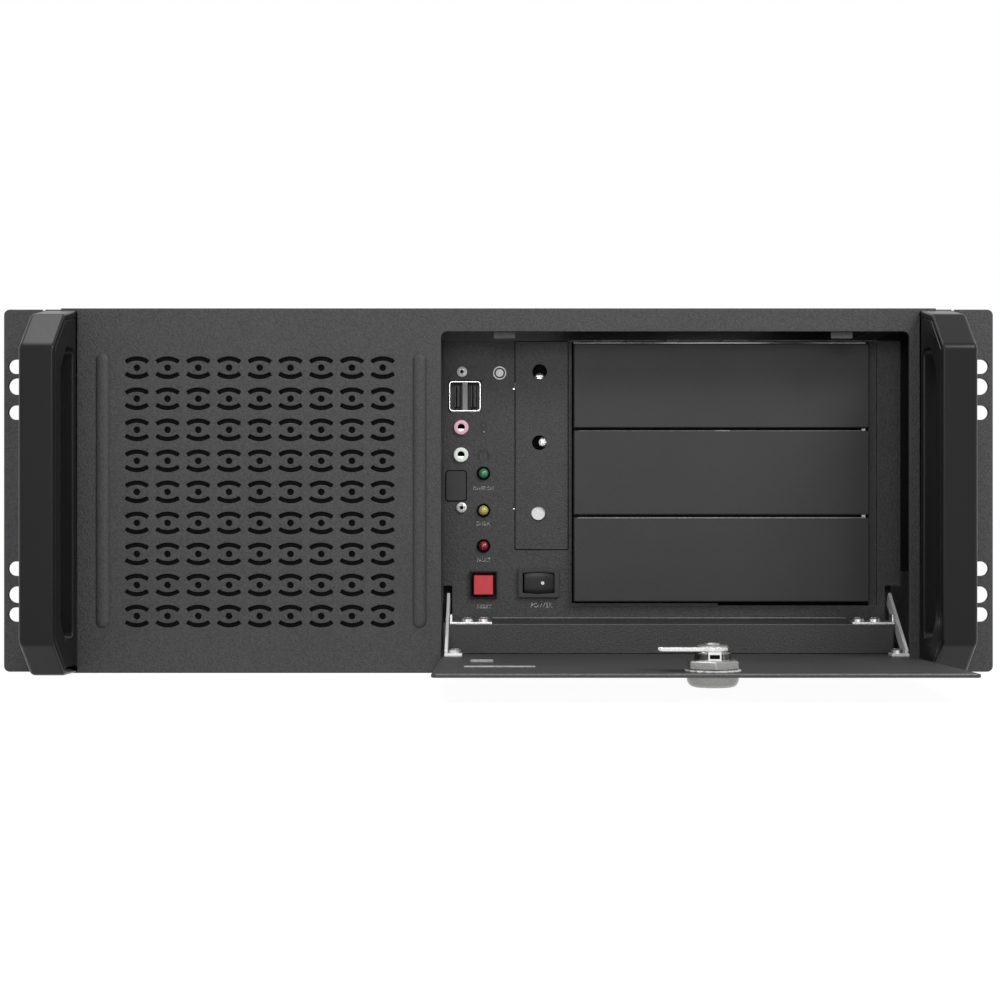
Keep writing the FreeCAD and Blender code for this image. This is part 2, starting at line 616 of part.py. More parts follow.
def rocker_switch():
    """Snap-in bezel and a see-saw key on a cross pin."""
    x, z, w, h = ROCKER
    front = RECESS - ROCKER_LIP
    lip = rounded(x - w / 2, x + w / 2, z - h / 2, z + h / 2, 0.8, front, RECESS)
    body = box(x - w / 2 + 1.4, x + w / 2 - 1.4, RECESS, RECESS + SWITCH_BODY, z - h / 2 + 1.4, z + h / 2 - 1.4)
    key_w, key_h = ROCKER_KEY
    well = box(x - key_w / 2 - 0.9, x + key_w / 2 + 0.9, front - CUT, RECESS + 7,
               z - key_h / 2 - 0.3, z + key_h / 2 + 0.3)
    frame = fuse([lip, body]).cut(well)
    pin_y = ROCKER_PIN_Y
    reach = key_w / 2
    low, high = z - key_h / 2, z + key_h / 2
    crown = [Vector(x - reach, pin_y - 5.6, low), Vector(x, pin_y - 4.4, low), Vector(x + reach, pin_y - 5.6, low)]
    outline = Part.Wire([
        Part.Arc(*crown).toShape(),
        Part.makeLine(crown[2], Vector(x + reach, pin_y - 2.0, low)),
        Part.makeLine(Vector(x + reach, pin_y - 2.0, low), Vector(x, pin_y + 2.6, low)),
        Part.makeLine(Vector(x, pin_y + 2.6, low), Vector(x - reach, pin_y - 2.0, low)),
        Part.makeLine(Vector(x - reach, pin_y - 2.0, low), crown[0]),
    ])
    key = prism(outline, (0, 0, high - low))
    pin_ends = rod(x, pin_y, z - key_h / 2 - 1.2, ROCKER_PIN_R, key_h + 2.4, (0, 0, 1))
    key = fuse([key, pin_ends])
    frame = frame.cut(rod(x, pin_y, z - key_h / 2 - 1.4, ROCKER_PIN_R + PIN_RUN, key_h + 2.8, (0, 0, 1)))
    key.rotate(Vector(x, pin_y, z), Vector(0, 0, 1), ROCKER_TILT)
    return frame, key


# ---------------------------------------------------------------- door
def door_plate():
    plate = rounded(DOOR_LEFT, DOOR_RIGHT, DOOR_BOTTOM, DOOR_TOP, OPENING_CORNER_R - DOOR_GAP,
                    FACE_Y, DOOR_BACK)
    lips = [box(left, right, DOOR_BACK, DOOR_BACK + LIP_RISE, HINGE_Z + up, HINGE_Z + up + LIP_WIDTH)
            for left, right, up in DOOR_LIPS]
    lock_hole = rod(LOCK_X, FACE_Y - CUT, LOCK_Z, LOCK_BARREL_R + LOCK_RUN, DOOR_SHEET + 2 * CUT)
    return fuse([plate, *lips]).cut(lock_hole)


def hinge_arm(x, inward):
    """Swan-neck arm in the YZ plane, with a foot bent inward against the door."""
    foot_y = DOOR_BACK
    heel = Vector(x, foot_y, ARM_FOOT_Z)
    line = HINGE - Vector(0, heel.y, heel.z)
    line.x = 0
    way = line.normalize()
    tail = Vector(x, HINGE_Y, HINGE_Z) + way * ARM_TAIL
    side = Vector(0, -way.z, way.y) * (ARM_WIDTH / 2)
    blade = prism(Part.makePolygon([heel - side, tail - side, tail + side, heel + side, heel - side]),
                  (ARM_SHEET, 0, 0))
    blade = blade.cut(box(x - CUT, x + ARM_SHEET + CUT, foot_y - 10, foot_y, ARM_FOOT_Z - 20, ARM_FOOT_Z + 20))
    x0, x1 = (x, x + ARM_FOOT_LENGTH) if inward > 0 else (x + ARM_SHEET - ARM_FOOT_LENGTH, x + ARM_SHEET)
    foot = box(x0, x1, foot_y, foot_y + ARM_SHEET, ARM_FOOT_Z - 4, ARM_FOOT_Z + 4)
    arm = fuse([blade, foot])
    arm = arm.cut(rod(x - CUT, HINGE_Y, HINGE_Z, PIN_R + PIN_RUN, ARM_SHEET + 2 * CUT, (1, 0, 0)))
    screw_x = (x0 + x1) / 2 + (0.8 if inward > 0 else -0.8)
    screw_seat = foot_y + ARM_SHEET
    arm = arm.cut(rod(screw_x, foot_y - CUT, ARM_FOOT_Z, SCREW_R, ARM_SHEET + 2 * CUT))
    screw = pan_screw(screw_x, screw_seat, ARM_FOOT_Z, ARM_SCREW_HEAD_R, 2.2, SCREW_R, ARM_SHEET, (0, 1, 0))
    return arm, screw


def bracket_screw_x(side):
    """Where the two ledge screws of a hinge bracket stand."""
    ear = ARM_X[0] + ARM_SHEET + BRACKET_GAP if side < 0 else ARM_X[1] - BRACKET_GAP
    return [ear - side * along for along in BRACKET_SCREWS_X]


def hinge_bracket(side):
    """Plate on the ledge, with an upturned ear and the pin the arm turns on."""
    arm_x = ARM_X[0] if side < 0 else ARM_X[1]
    top = LEDGE_Z + BRACKET_SHEET
    if side < 0:
        ear0 = arm_x + ARM_SHEET + BRACKET_GAP
        ear1 = ear0 + BRACKET_SHEET
        plate = box(ear0, ear0 + BRACKET_LENGTH, RISER_Y, RISER_Y + BRACKET_DEPTH, LEDGE_Z, top)
        pin = rod(arm_x - PIN_PROUD, HINGE_Y, HINGE_Z, PIN_R, ear1 - arm_x + PIN_PROUD, (1, 0, 0))
    else:
        ear1 = arm_x - BRACKET_GAP
        ear0 = ear1 - BRACKET_SHEET
        plate = box(ear1 - BRACKET_LENGTH, ear1, RISER_Y, RISER_Y + BRACKET_DEPTH, LEDGE_Z, top)
        pin = rod(ear0, HINGE_Y, HINGE_Z, PIN_R, arm_x + ARM_SHEET + PIN_PROUD - ear0, (1, 0, 0))
    ear = box(ear0, ear1, HINGE_Y - 3.2, HINGE_Y + 3.2, LEDGE_Z, HINGE_Z + 3.0)
    bracket = fuse([plate, ear, pin])
    screws_x = bracket_screw_x(side)
    shank = BRACKET_SHEET + SHEET
    screws = [pan_screw(x, BRACKET_SCREW_Y, top, BRACKET_SCREW_HEAD_R, 2.0, SCREW_R, shank, (0, 0, 1))
              for x in screws_x]
    holes = [rod(x, BRACKET_SCREW_Y, LEDGE_Z - CUT, SCREW_R, BRACKET_SHEET + 2 * CUT, (0, 0, 1)) for x in screws_x]
    return bracket.cut(holes), screws


def lock_parts():
    """Cam lock: headed barrel, hex nut on the inside, and the turning cam."""
    back = DOOR_BACK
    barrel = rod(LOCK_X, FACE_Y, LOCK_Z, LOCK_BARREL_R, DOOR_SHEET + LOCK_BARREL_LENGTH)
    rim = rod(LOCK_X, FACE_Y - LOCK_RIM, LOCK_Z, LOCK_HEAD_R, LOCK_RIM)
    crown = dome(LOCK_X, FACE_Y - LOCK_RIM, LOCK_Z, LOCK_HEAD_R, LOCK_HEAD_RISE - LOCK_RIM)
    body = fuse([barrel, rim, crown])
    front = FACE_Y - LOCK_HEAD_RISE - CUT
    plug_recess = rod(LOCK_X, front, LOCK_Z, LOCK_PLUG_R, CUT + 0.8)
    half_w, half_h = KEYWAY[0] / 2, KEYWAY[1] / 2
    keyway = box(LOCK_X - half_w, LOCK_X + half_w, front, FACE_Y + 3, LOCK_Z - half_h, LOCK_Z + half_h)
    body = body.cut([plug_recess, keyway])
    nut = hex_prism(LOCK_X, back, LOCK_Z, LOCK_NUT_AF, LOCK_NUT_HEIGHT)
    nut = nut.cut(rod(LOCK_X, back - CUT, LOCK_Z, LOCK_BARREL_R, LOCK_NUT_HEIGHT + 2 * CUT))
    cam_y = back + LOCK_BARREL_LENGTH + CLEAR
    half = CAM_WIDTH / 2
    cam = fuse([rod(LOCK_X, cam_y, LOCK_Z, half + CAM_ROUND, CAM_SHEET),
                box(LOCK_X - CAM_REACH, LOCK_X, cam_y, cam_y + CAM_SHEET, LOCK_Z - half, LOCK_Z + half)])
    cam = cam.makeFillet(2.5, [e for e in cam.Edges if abs(e.tangentAt(e.FirstParameter).y) > 0.9
                               and e.CenterOfMass.x < LOCK_X - CAM_REACH + 1])
    screw = pan_screw(LOCK_X, cam_y + CAM_SHEET, LOCK_Z, CAM_SCREW_R, CAM_SCREW_RISE, LOCK_PIN_R, 0.5, (0, 1, 0))
    cam = cam.cut(rod(LOCK_X, cam_y - CUT, LOCK_Z, LOCK_PIN_R, CAM_SHEET + 2 * CUT))
    return body, nut, cam, screw


# ---------------------------------------------------------------- handles
def handle(side):
    """Cast pull handle: a trapezoid ring with softened edges."""
    x0 = side * HANDLE_X - HANDLE_WIDTH / 2
    c = HANDLE_CENTRE_Z
    lift = HANDLE_BASE_Z - HANDLE_CENTRE_Z

    def loop(points):
        return Part.makePolygon([Vector(x0, FACE_Y - y, c + z) for y, z in points + points[:1]])

    outer = [(0, lift + HANDLE_HALF), (HANDLE_KNEE, HANDLE_KNEE_HALF), (HANDLE_DEPTH, HANDLE_FRONT_HALF),
             (HANDLE_DEPTH, -HANDLE_FRONT_HALF), (HANDLE_KNEE, -HANDLE_KNEE_HALF), (0, lift - HANDLE_HALF)]
    inner_front = HANDLE_DEPTH - HANDLE_BAR
    inner_half = HANDLE_FRONT_HALF - 2
    gap = [(HANDLE_BASE, inner_half + 3), (HANDLE_KNEE - 4, inner_half + 3), (inner_front, inner_half - 8),
           (inner_front, -inner_half + 8), (HANDLE_KNEE - 4, -inner_half - 3), (HANDLE_BASE, -inner_half - 3)]
    ring = prism(loop(outer), (HANDLE_WIDTH, 0, 0))
    hole = prism(loop(gap), (HANDLE_WIDTH, 0, 0))
    hole = hole.makeFillet(3.0, [e for e in hole.Edges if abs(e.tangentAt(e.FirstParameter).x) > 0.9])
    corners = [e for e in ring.Edges if abs(e.tangentAt(e.FirstParameter).x) > 0.9
               and abs(e.CenterOfMass.y - FACE_Y) > 1]
    ring = ring.makeFillet(5.0, corners)
    rims = [e for e in ring.Edges if abs(e.tangentAt(e.FirstParameter).x) < 0.1
            and e.BoundBox.YMin < FACE_Y - 1 and e.BoundBox.YMax < FACE_Y + 0.5
            and (e.BoundBox.XLength < 0.01)
            and not (abs(e.BoundBox.YMax - FACE_Y) < 0.01 and e.BoundBox.YLength < 0.01)]
    ring = ring.makeFillet(HANDLE_FILLET, rims)
    return ring.cut(hole)


# ---------------------------------------------------------------- fan
def front_fan():
    """Axial fan: a flanged square frame with a post on four struts, and the rotor."""
    cx, cz, half = VENT_CENTRE_X, VENT_CENTRE_Z, FAN_SIZE / 2
    y0, y1 = FAN_Y, FAN_Y + FAN_THICK
    span = FAN_THICK - 2 * FAN_FLANGE
    frame = rounded(cx - half, cx + half, cz - half, cz + half, FAN_CORNER_R, y0, y1)
    relief = rounded(cx - half - CUT, cx + half + CUT, cz - half - CUT, cz + half + CUT, FAN_CORNER_R,
                     y0 + FAN_FLANGE, y1 - FAN_FLANGE)
    core = rod(cx, y0 + FAN_FLANGE - CUT, cz, FAN_BORE_R + 1.5, span + 2 * CUT)
    frame = frame.cut(relief.cut(core))
    frame = frame.cut(rod(cx, y0 - CUT, cz, FAN_BORE_R, FAN_THICK + 2 * CUT))
    spider = [rod(cx, y1 - FAN_STRUT, cz, FAN_HUB_R, FAN_STRUT)]
    for k in range(4):
        strut = box(cx, cx + FAN_BORE_R + 1, y1 - FAN_STRUT, y1, cz - 2, cz + 2)
        strut.rotate(Vector(cx, 0, cz), Vector(0, 1, 0), 45 + 90 * k)
        spider.append(strut)
    spider.append(rod(cx, y0 + 6, cz, FAN_POST_R, FAN_THICK - 6))
    frame = fuse([frame, *spider])
    h = FAN_HOLES / 2
    frame = frame.cut([rod(cx + a * h, y0 - CUT, cz + b * h, FAN_HOLE_R, FAN_THICK + 2 * CUT)
                       for a in (-1, 1) for b in (-1, 1)])
    depth = FAN_THICK - 6
    hub = rod(cx, y0 + 2, cz, FAN_HUB_R, depth)
    blades = []
    for k in range(FAN_BLADES):
        blade = box(cx + FAN_HUB_R - 2, cx + FAN_BORE_R - 1.5, y0 + 3, y0 + 3 + FAN_BLADE, cz, cz + FAN_BLADE_CHORD)
        blade.rotate(Vector(cx, y0 + 4, cz), Vector(1, 0, 0), -30)
        blade.rotate(Vector(cx, 0, cz), Vector(0, 1, 0), 360 / FAN_BLADES * k)
        blades.append(blade)
    sweep = rod(cx, y0 + 2, cz, FAN_BORE_R - FAN_TIP_RUN, depth)
    rotor = fuse([hub, *blades]).common(sweep)
    rotor = rotor.cut(rod(cx, y0 + 5.8, cz, FAN_POST_R + FAN_POST_RUN, FAN_THICK))
    return frame, rotor


def fan_bracket():
    """Shallow box that holds the dust filter against the panel and carries the fan."""
    cx, cz, half = VENT_CENTRE_X, VENT_CENTRE_Z, FAN_BOX / 2
    shell = box(cx - half, cx + half, 0, FAN_Y, cz - half, cz + half)
    hollow = box(cx - half + SHEET, cx + half - SHEET, -CUT, FAN_Y - SHEET, cz - half + SHEET, cz + half - SHEET)
    bore = rod(cx, -CUT, cz, FAN_BORE_R, FAN_Y + 2 * CUT)
    return shell.cut([hollow, bore])


def dust_filter():
    cx, cz, half = VENT_CENTRE_X, VENT_CENTRE_Z, FAN_BOX / 2 - SHEET - FILTER_GAP
    back = FAN_Y - SHEET
    return box(cx - half, cx + half, back - FILTER_THICK, back, cz - half, cz + half)


# ---------------------------------------------------------------- chassis
def chassis_tray():
    """Floor and side walls folded from one sheet, with flanges under the lid."""
    y0, y1 = 0.0, CASE_DEPTH
    floor = box(-HALF_W, HALF_W, y0, y1, FLOOR, FLOOR + SHEET)
    top = ROOF - SHEET
    walls = [box(-HALF_W, -HALF_W + SHEET, y0, y1, FLOOR, top),
             box(HALF_W - SHEET, HALF_W, y0, y1, FLOOR, top)]
    flanges = [box(-HALF_W, -HALF_W + FLANGE, y0 + FLANGE, y1, top - SHEET, top),
               box(HALF_W - FLANGE, HALF_W, y0 + FLANGE, y1, top - SHEET, top)]
    tray = fuse([floor, *walls, *flanges])
    slide_holes = []
    for x in (-HALF_W, HALF_W):
        for y in SLIDE_HOLES_Y:
            for z in SLIDE_HOLES_Z:
                slide_holes.append(rod(x - SHEET - CUT, y, z, SLIDE_HOLE_R, 2 * (SHEET + CUT), (1, 0, 0)))
    return tray.cut(slide_holes)


def top_cover():
    """Lid sheet, with a lip turned down at the rear."""
    lid = box(-HALF_W, HALF_W, FLANGE + LID_GAP, CASE_DEPTH, ROOF - SHEET, ROOF)
    ends = HALF_W - LID_INSET
    lip = box(-ends, ends, CASE_DEPTH, CASE_DEPTH + SHEET, ROOF - REAR_LIP, ROOF)
    return fuse([lid, lip])


def slotted_grille(x0, x1, z0, z1, y0, y1, pitch, width):
    """Cutters for rows of upright round-ended air slots."""
    count = int((x1 - x0) / pitch)
    start = (x0 + x1) / 2 - (count - 1) * pitch / 2
    middles = [start + k * pitch for k in range(count)]
    return [rounded(x - width / 2, x + width / 2, z0, z1, width / 2 - ROUND_END, y0, y1) for x in middles]


def rear_panel():
    y0, y1 = CASE_DEPTH - SHEET, CASE_DEPTH
    inner = HALF_W - SHEET
    low, high = FLOOR + SHEET, ROOF - 2 * SHEET
    plate = box(-inner, inner, y0, y1, low, high)
    flange = box(-inner + LID_INSET, inner - LID_INSET, y0 - REAR_LIP, y1, high, high + SHEET)
    plate = fuse([plate, flange])
    cutters = []
    for x0, x1, z0, z1 in (IO_WINDOW, PSU_WINDOW):
        cutters.append(box(x0, x1, y0 - CUT, y1 + CUT, z0, z1))
    for k in range(SLOT_COUNT):
        x = SLOT_LEFT + k * SLOT_PITCH
        cutters.append(box(x, x + SLOT_WIDTH, y0 - CUT, y1 + CUT, *SLOT_Z))
    half = REAR_FAN_SIZE / 2
    for x in REAR_FANS_X:
        for k in range(2):
            low_z = REAR_FAN_Z - half + 6 + k * (half - 4)
            cutters += slotted_grille(x - half + 4, x + half - 4, low_z, low_z + half - 8,
                                      y0 - CUT, y1 + CUT, AIR_SLOT_PITCH, AIR_SLOT_WIDTH)
    return plate.cut(cutters)


def slot_covers():
    """Bent blank brackets, one behind each expansion slot."""
    y0 = CASE_DEPTH - SHEET
    blanks = []
    low, high = SLOT_Z[0] - BLANK_LAP + 1, SLOT_Z[1] + BLANK_LAP
    for k in range(SLOT_COUNT):
        x = SLOT_LEFT + k * SLOT_PITCH - (BLANK_WIDTH - SLOT_WIDTH) / 2
        blade = box(x, x + BLANK_WIDTH, y0 - BLANK_SHEET, y0, low, high)
        tab = box(x, x + BLANK_WIDTH, y0 - BLANK_TAB, y0, high, high + BLANK_SHEET)
        blanks.append(fuse([blade, tab]))
    return blanks


def board_standoffs():
    base = FLOOR + SHEET
    return [hex_prism(x, y, base, STANDOFF_AF, STANDOFF_HEIGHT, (0, 0, 1)) for x in STANDOFFS_X for y in STANDOFFS_Y]


def crossbar():
    """Card retainer bar, an upturned channel between the side walls."""
    y0, y1, z, t = CROSSBAR_Y, CROSSBAR_Y + CROSSBAR_WIDTH, CROSSBAR_Z, SHEET
    inner = HALF_W - SHEET
    leg, end = z - CROSSBAR_LEG, z - CROSSBAR_END
    web = box(-inner, inner, y0, y1, z - t, z)
    legs = [box(-inner, inner, y0, y0 + t, leg, z), box(-inner, inner, y1 - t, y1, leg, z)]
    ends = [box(-inner, -inner + t, y0, y1, end, z), box(inner - t, inner, y0, y1, end, z)]
    return fuse([web, *legs, *ends])


# ---------------------------------------------------------------- assembly
def main():
    keep("front_panel", front_panel())
    keep("inner_panel", inner_panel())
    keep("chassis_tray", chassis_tray())
    keep("top_cover", top_cover())
    keep("rear_panel", rear_panel())
    keep("slot_covers", *slot_covers())
    keep("board_standoffs", *board_standoffs())
    keep("crossbar", crossbar())
    keep("drive_cage", drive_cage())
    keep("access_plate", access_plate())
    channel, studs = access_channel()
    keep("access_channel", channel)
    keep("access_studs", *studs)
    for index in range(BAY_COUNT):
        keep(f"bay_cover_{index + 1}", bay_cover(index))

    keep("handle_left", handle(-1))
    keep("handle_right", handle(1))

    shell, tongues = port_block()
    keep("port_shell", shell)
    keep("port_tongues", tongues)
    for name, (x, z) in JACKS.items():
        keep(name, jack(x, z))
    clips = []
    for name, z in LAMPS.items():
        lens, clip = lamp(z)
        keep(name, lens)
        clips.append(clip)
    keep("lamp_clips", *clips)
    x, z, w, h = BLANK_PLATE
    keep("blank_plate", rounded(x - w / 2, x + w / 2, z - h / 2, z + h / 2, 1.5, RECESS - 1.0, RECESS))
    keep("panel_screws", *[pan_screw(x, RECESS, z, 2.6, 1.8, 1.5, 6.0) for x, z in IO_SCREWS])
    housing, cap = reset_switch()
    keep("reset_housing", housing)
    keep("reset_button", cap)
    frame, key = rocker_switch()
    keep("power_switch_frame", frame)
    keep("power_rocker", key)

    frame, rotor = front_fan()
    keep("fan_frame", frame)
    keep("fan_rotor", rotor)
    keep("fan_bracket", fan_bracket())
    keep("dust_filter", dust_filter())

    keep("door", opened(door_plate()))
    arms, arm_screws, ledge_screws = [], [], []
    for name, x, side in (("hinge_arm_left", ARM_X[0], -1), ("hinge_arm_right", ARM_X[1], 1)):
        arm, screw = hinge_arm(x, -side)
        keep(name, opened(arm))
        arm_screws.append(opened(screw))
    for name, side in (("hinge_bracket_left", -1), ("hinge_bracket_right", 1)):
        bracket, screws = hinge_bracket(side)
        keep(name, bracket)
        ledge_screws += screws
    keep("arm_screws", *arm_screws)
    keep("bracket_screws", *ledge_screws)
    body, nut, cam, cam_screw = lock_parts()
    keep("lock_body", opened(body))
    keep("lock_nut", opened(nut))
    keep("lock_cam", opened(cam))
    keep("lock_cam_screw", opened(cam_screw))

    os.makedirs("parts", exist_ok=True)
    for name, shape in PARTS.items():
        if not shape.isValid() or shape.Volume <= 0:
            print("suspect shape:", name)
        shape.exportStep(os.path.join("parts", name + ".step"))
    print(len(PARTS), "nodes")


main()
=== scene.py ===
"""Dresses the empty rackmount server case: finishes, eased edges, vent field, marks, light and camera.

Each sub-assembly is a class that holds its sizes in millimetres and builds its own pieces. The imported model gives
their places, and every piece rides on one of its bodies.
"""
import json
import logging
import math
from dataclasses import dataclass, field
from enum import Enum

import bmesh
import bpy
from mathutils import Matrix, Vector, geometry


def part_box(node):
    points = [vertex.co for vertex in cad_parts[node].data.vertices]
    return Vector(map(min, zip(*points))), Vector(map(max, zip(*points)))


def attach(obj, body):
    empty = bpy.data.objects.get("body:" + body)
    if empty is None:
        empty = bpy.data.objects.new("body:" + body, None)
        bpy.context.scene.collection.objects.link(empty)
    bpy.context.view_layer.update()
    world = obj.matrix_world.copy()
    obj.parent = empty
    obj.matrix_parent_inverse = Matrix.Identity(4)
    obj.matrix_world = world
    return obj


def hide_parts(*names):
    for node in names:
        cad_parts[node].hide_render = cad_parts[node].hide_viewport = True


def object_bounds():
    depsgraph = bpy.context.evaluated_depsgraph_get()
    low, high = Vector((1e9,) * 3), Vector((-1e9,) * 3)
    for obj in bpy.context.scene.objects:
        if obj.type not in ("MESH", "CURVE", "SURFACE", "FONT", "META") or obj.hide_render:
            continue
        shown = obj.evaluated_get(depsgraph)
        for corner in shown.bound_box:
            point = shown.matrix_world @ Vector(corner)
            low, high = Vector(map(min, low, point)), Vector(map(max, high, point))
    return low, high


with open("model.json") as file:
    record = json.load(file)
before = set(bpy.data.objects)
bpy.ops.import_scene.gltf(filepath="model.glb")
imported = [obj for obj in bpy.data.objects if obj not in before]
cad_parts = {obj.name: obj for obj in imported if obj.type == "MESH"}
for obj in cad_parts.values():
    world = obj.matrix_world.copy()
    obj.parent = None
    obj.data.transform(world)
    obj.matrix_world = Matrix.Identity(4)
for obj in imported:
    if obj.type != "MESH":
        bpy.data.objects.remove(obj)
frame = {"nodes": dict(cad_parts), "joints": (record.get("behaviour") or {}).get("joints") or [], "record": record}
CAD_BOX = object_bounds()

LOG = logging.getLogger("server_case")
MM = 0.001
SMALLEST = 1e-9
Point = tuple[float, float]
Triple = tuple[float, float, float]
Loop = list[Point]
Stations = list[Point] | tuple[Point, ...]


# ------------------------------------------------------------------ finishes
class Grain(Enum):
    """The kind of fine relief that a finish has."""

    ORANGE_PEEL = "orange_peel"
    SPARKED = "sparked"
    BRUSHED = "brushed"
    SMOOTH = "smooth"
    FOAM = "foam"


class NodeBench:
    """A small helper that adds and links the nodes of one material."""

    def __init__(self, name: str) -> None:
        """Starts an empty material with an output node.

        Args:
            name: the material's name.
        """
        self.material = bpy.data.materials.new(name)
        self.material.use_nodes = True
        self.tree = self.material.node_tree
        self.tree.nodes.clear()
        self.output = self.add("ShaderNodeOutputMaterial")

    def add(self, kind: str, **values: object) -> bpy.types.Node:
        """Adds a node and sets its inputs or properties by name.

        Args:
            kind: the node's type name.
            values: input sockets, with spaces written as underscores, or node properties.

        Returns:
            The new node.
        """
        node = self.tree.nodes.new(kind)
        for key, value in values.items():
            label = key.replace("_", " ")
            sockets = {s.name.lower(): s for s in node.inputs}
            if label.lower() in sockets:
                sockets[label.lower()].default_value = value
            else:
                setattr(node, key, value)
        return node

    def link(self, start: bpy.types.NodeSocket, end: bpy.types.NodeSocket) -> None:
        """Joins two sockets."""
        self.tree.links.new(start, end)


@dataclass(frozen=True)
class Finish:
    """A surface finish: colour, gloss and fine relief, all read in object space."""

    name: str
    colour: tuple[float, float, float]
    roughness: float = 0.5
    metallic: float = 0.0
    grain: Grain = Grain.SMOOTH
    grain_size: float = 0.8 * MM
    relief: float = 0.3
    mottle: float = 0.08
    speckle: float = 0.5
    coat: float = 0.0
    specular: float = 0.5
    cloud_scale: float = 14.0
    patch_scale: float = 40.0
    ramp_ends: Point = (0.34, 0.66)
    gloss_spread: float = 0.06
    least_roughness: float = 0.02
    brush_stretch: float = 12.0
    grain_height: float = 0.4

    def build(self) -> bpy.types.Material:
        """Makes the material.

        Returns:
            The finished material.
        """
        bench = NodeBench(self.name)
        shader = bench.add("ShaderNodeBsdfPrincipled", Metallic=self.metallic)
        shader.inputs["Specular IOR Level"].default_value = self.specular
        shader.inputs["Coat Weight"].default_value = self.coat
        bench.link(shader.outputs["BSDF"], bench.output.inputs["Surface"])
        place = bench.add("ShaderNodeTexCoord").outputs["Object"]
        self._colour(bench, shader, place)
        self._gloss(bench, shader, place)
        self._relief(bench, shader, place)
        return bench.material

    def _colour(self, bench: NodeBench, shader: bpy.types.Node, place: bpy.types.NodeSocket) -> None:
        """Varies the colour a little, in slow clouds and fine specks.

        Args:
            bench: the material's nodes.
            shader: the surface's shader.
            place: the object's own coordinates.
        """
        clouds = bench.add("ShaderNodeTexNoise", Scale=self.cloud_scale, Detail=3.0)
        specks = bench.add("ShaderNodeTexNoise", Scale=1.0 / self.grain_size, Detail=2.0)
        for noise in (clouds, specks):
            bench.link(place, noise.inputs["Vector"])
        blend = bench.add("ShaderNodeMix", data_type="FLOAT")
        blend.inputs["Factor"].default_value = self.speckle
        bench.link(clouds.outputs["Fac"], blend.inputs["A"])
        bench.link(specks.outputs["Fac"], blend.inputs["B"])
        ramp = bench.add("ShaderNodeValToRGB")
        low, high = ramp.color_ramp.elements
        low.position, high.position = self.ramp_ends
        low.color = (*[c * (1 - self.mottle) for c in self.colour], 1)
        high.color = (*[min(1.0, c * (1 + self.mottle)) for c in self.colour], 1)
        bench.link(blend.outputs["Result"], ramp.inputs["Fac"])
        bench.link(ramp.outputs["Color"], shader.inputs["Base Color"])

    def _gloss(self, bench: NodeBench, shader: bpy.types.Node, place: bpy.types.NodeSocket) -> None:
        """Varies the roughness in slow patches.

        Args:
            bench: the material's nodes.
            shader: the surface's shader.
            place: the object's own coordinates.
        """
        patches = bench.add("ShaderNodeTexNoise", Scale=self.patch_scale, Detail=4.0)
        bench.link(place, patches.inputs["Vector"])
        span = bench.add("ShaderNodeMapRange")
        span.inputs["To Min"].default_value = max(self.least_roughness, self.roughness - self.gloss_spread)
        span.inputs["To Max"].default_value = min(1.0, self.roughness + self.gloss_spread)
        bench.link(patches.outputs["Fac"], span.inputs["Value"])
        bench.link(span.outputs["Result"], shader.inputs["Roughness"])

    def _relief(self, bench: NodeBench, shader: bpy.types.Node, place: bpy.types.NodeSocket) -> None:
        """Adds the fine relief of the grain as bump.

        Args:
            bench: the material's nodes.
            shader: the surface's shader.
            place: the object's own coordinates.
        """
        if self.grain is Grain.SMOOTH:
            return
        vector = place
        if self.grain is Grain.BRUSHED:
            stretch = bench.add("ShaderNodeMapping")
            stretch.inputs["Scale"].default_value = (1.0, self.brush_stretch, self.brush_stretch)
            bench.link(place, stretch.inputs["Vector"])
            vector = stretch.outputs["Vector"]
        texture = bench.add("ShaderNodeTexNoise", Scale=1.0 / self.grain_size, Detail=3.0, Roughness=0.6)
        bench.link(vector, texture.inputs["Vector"])
        bump = bench.add("ShaderNodeBump", Strength=self.relief, Distance=self.grain_size * self.grain_height)
        bench.link(texture.outputs["Fac"], bump.inputs["Height"])
        bench.link(bump.outputs["Normal"], shader.inputs["Normal"])


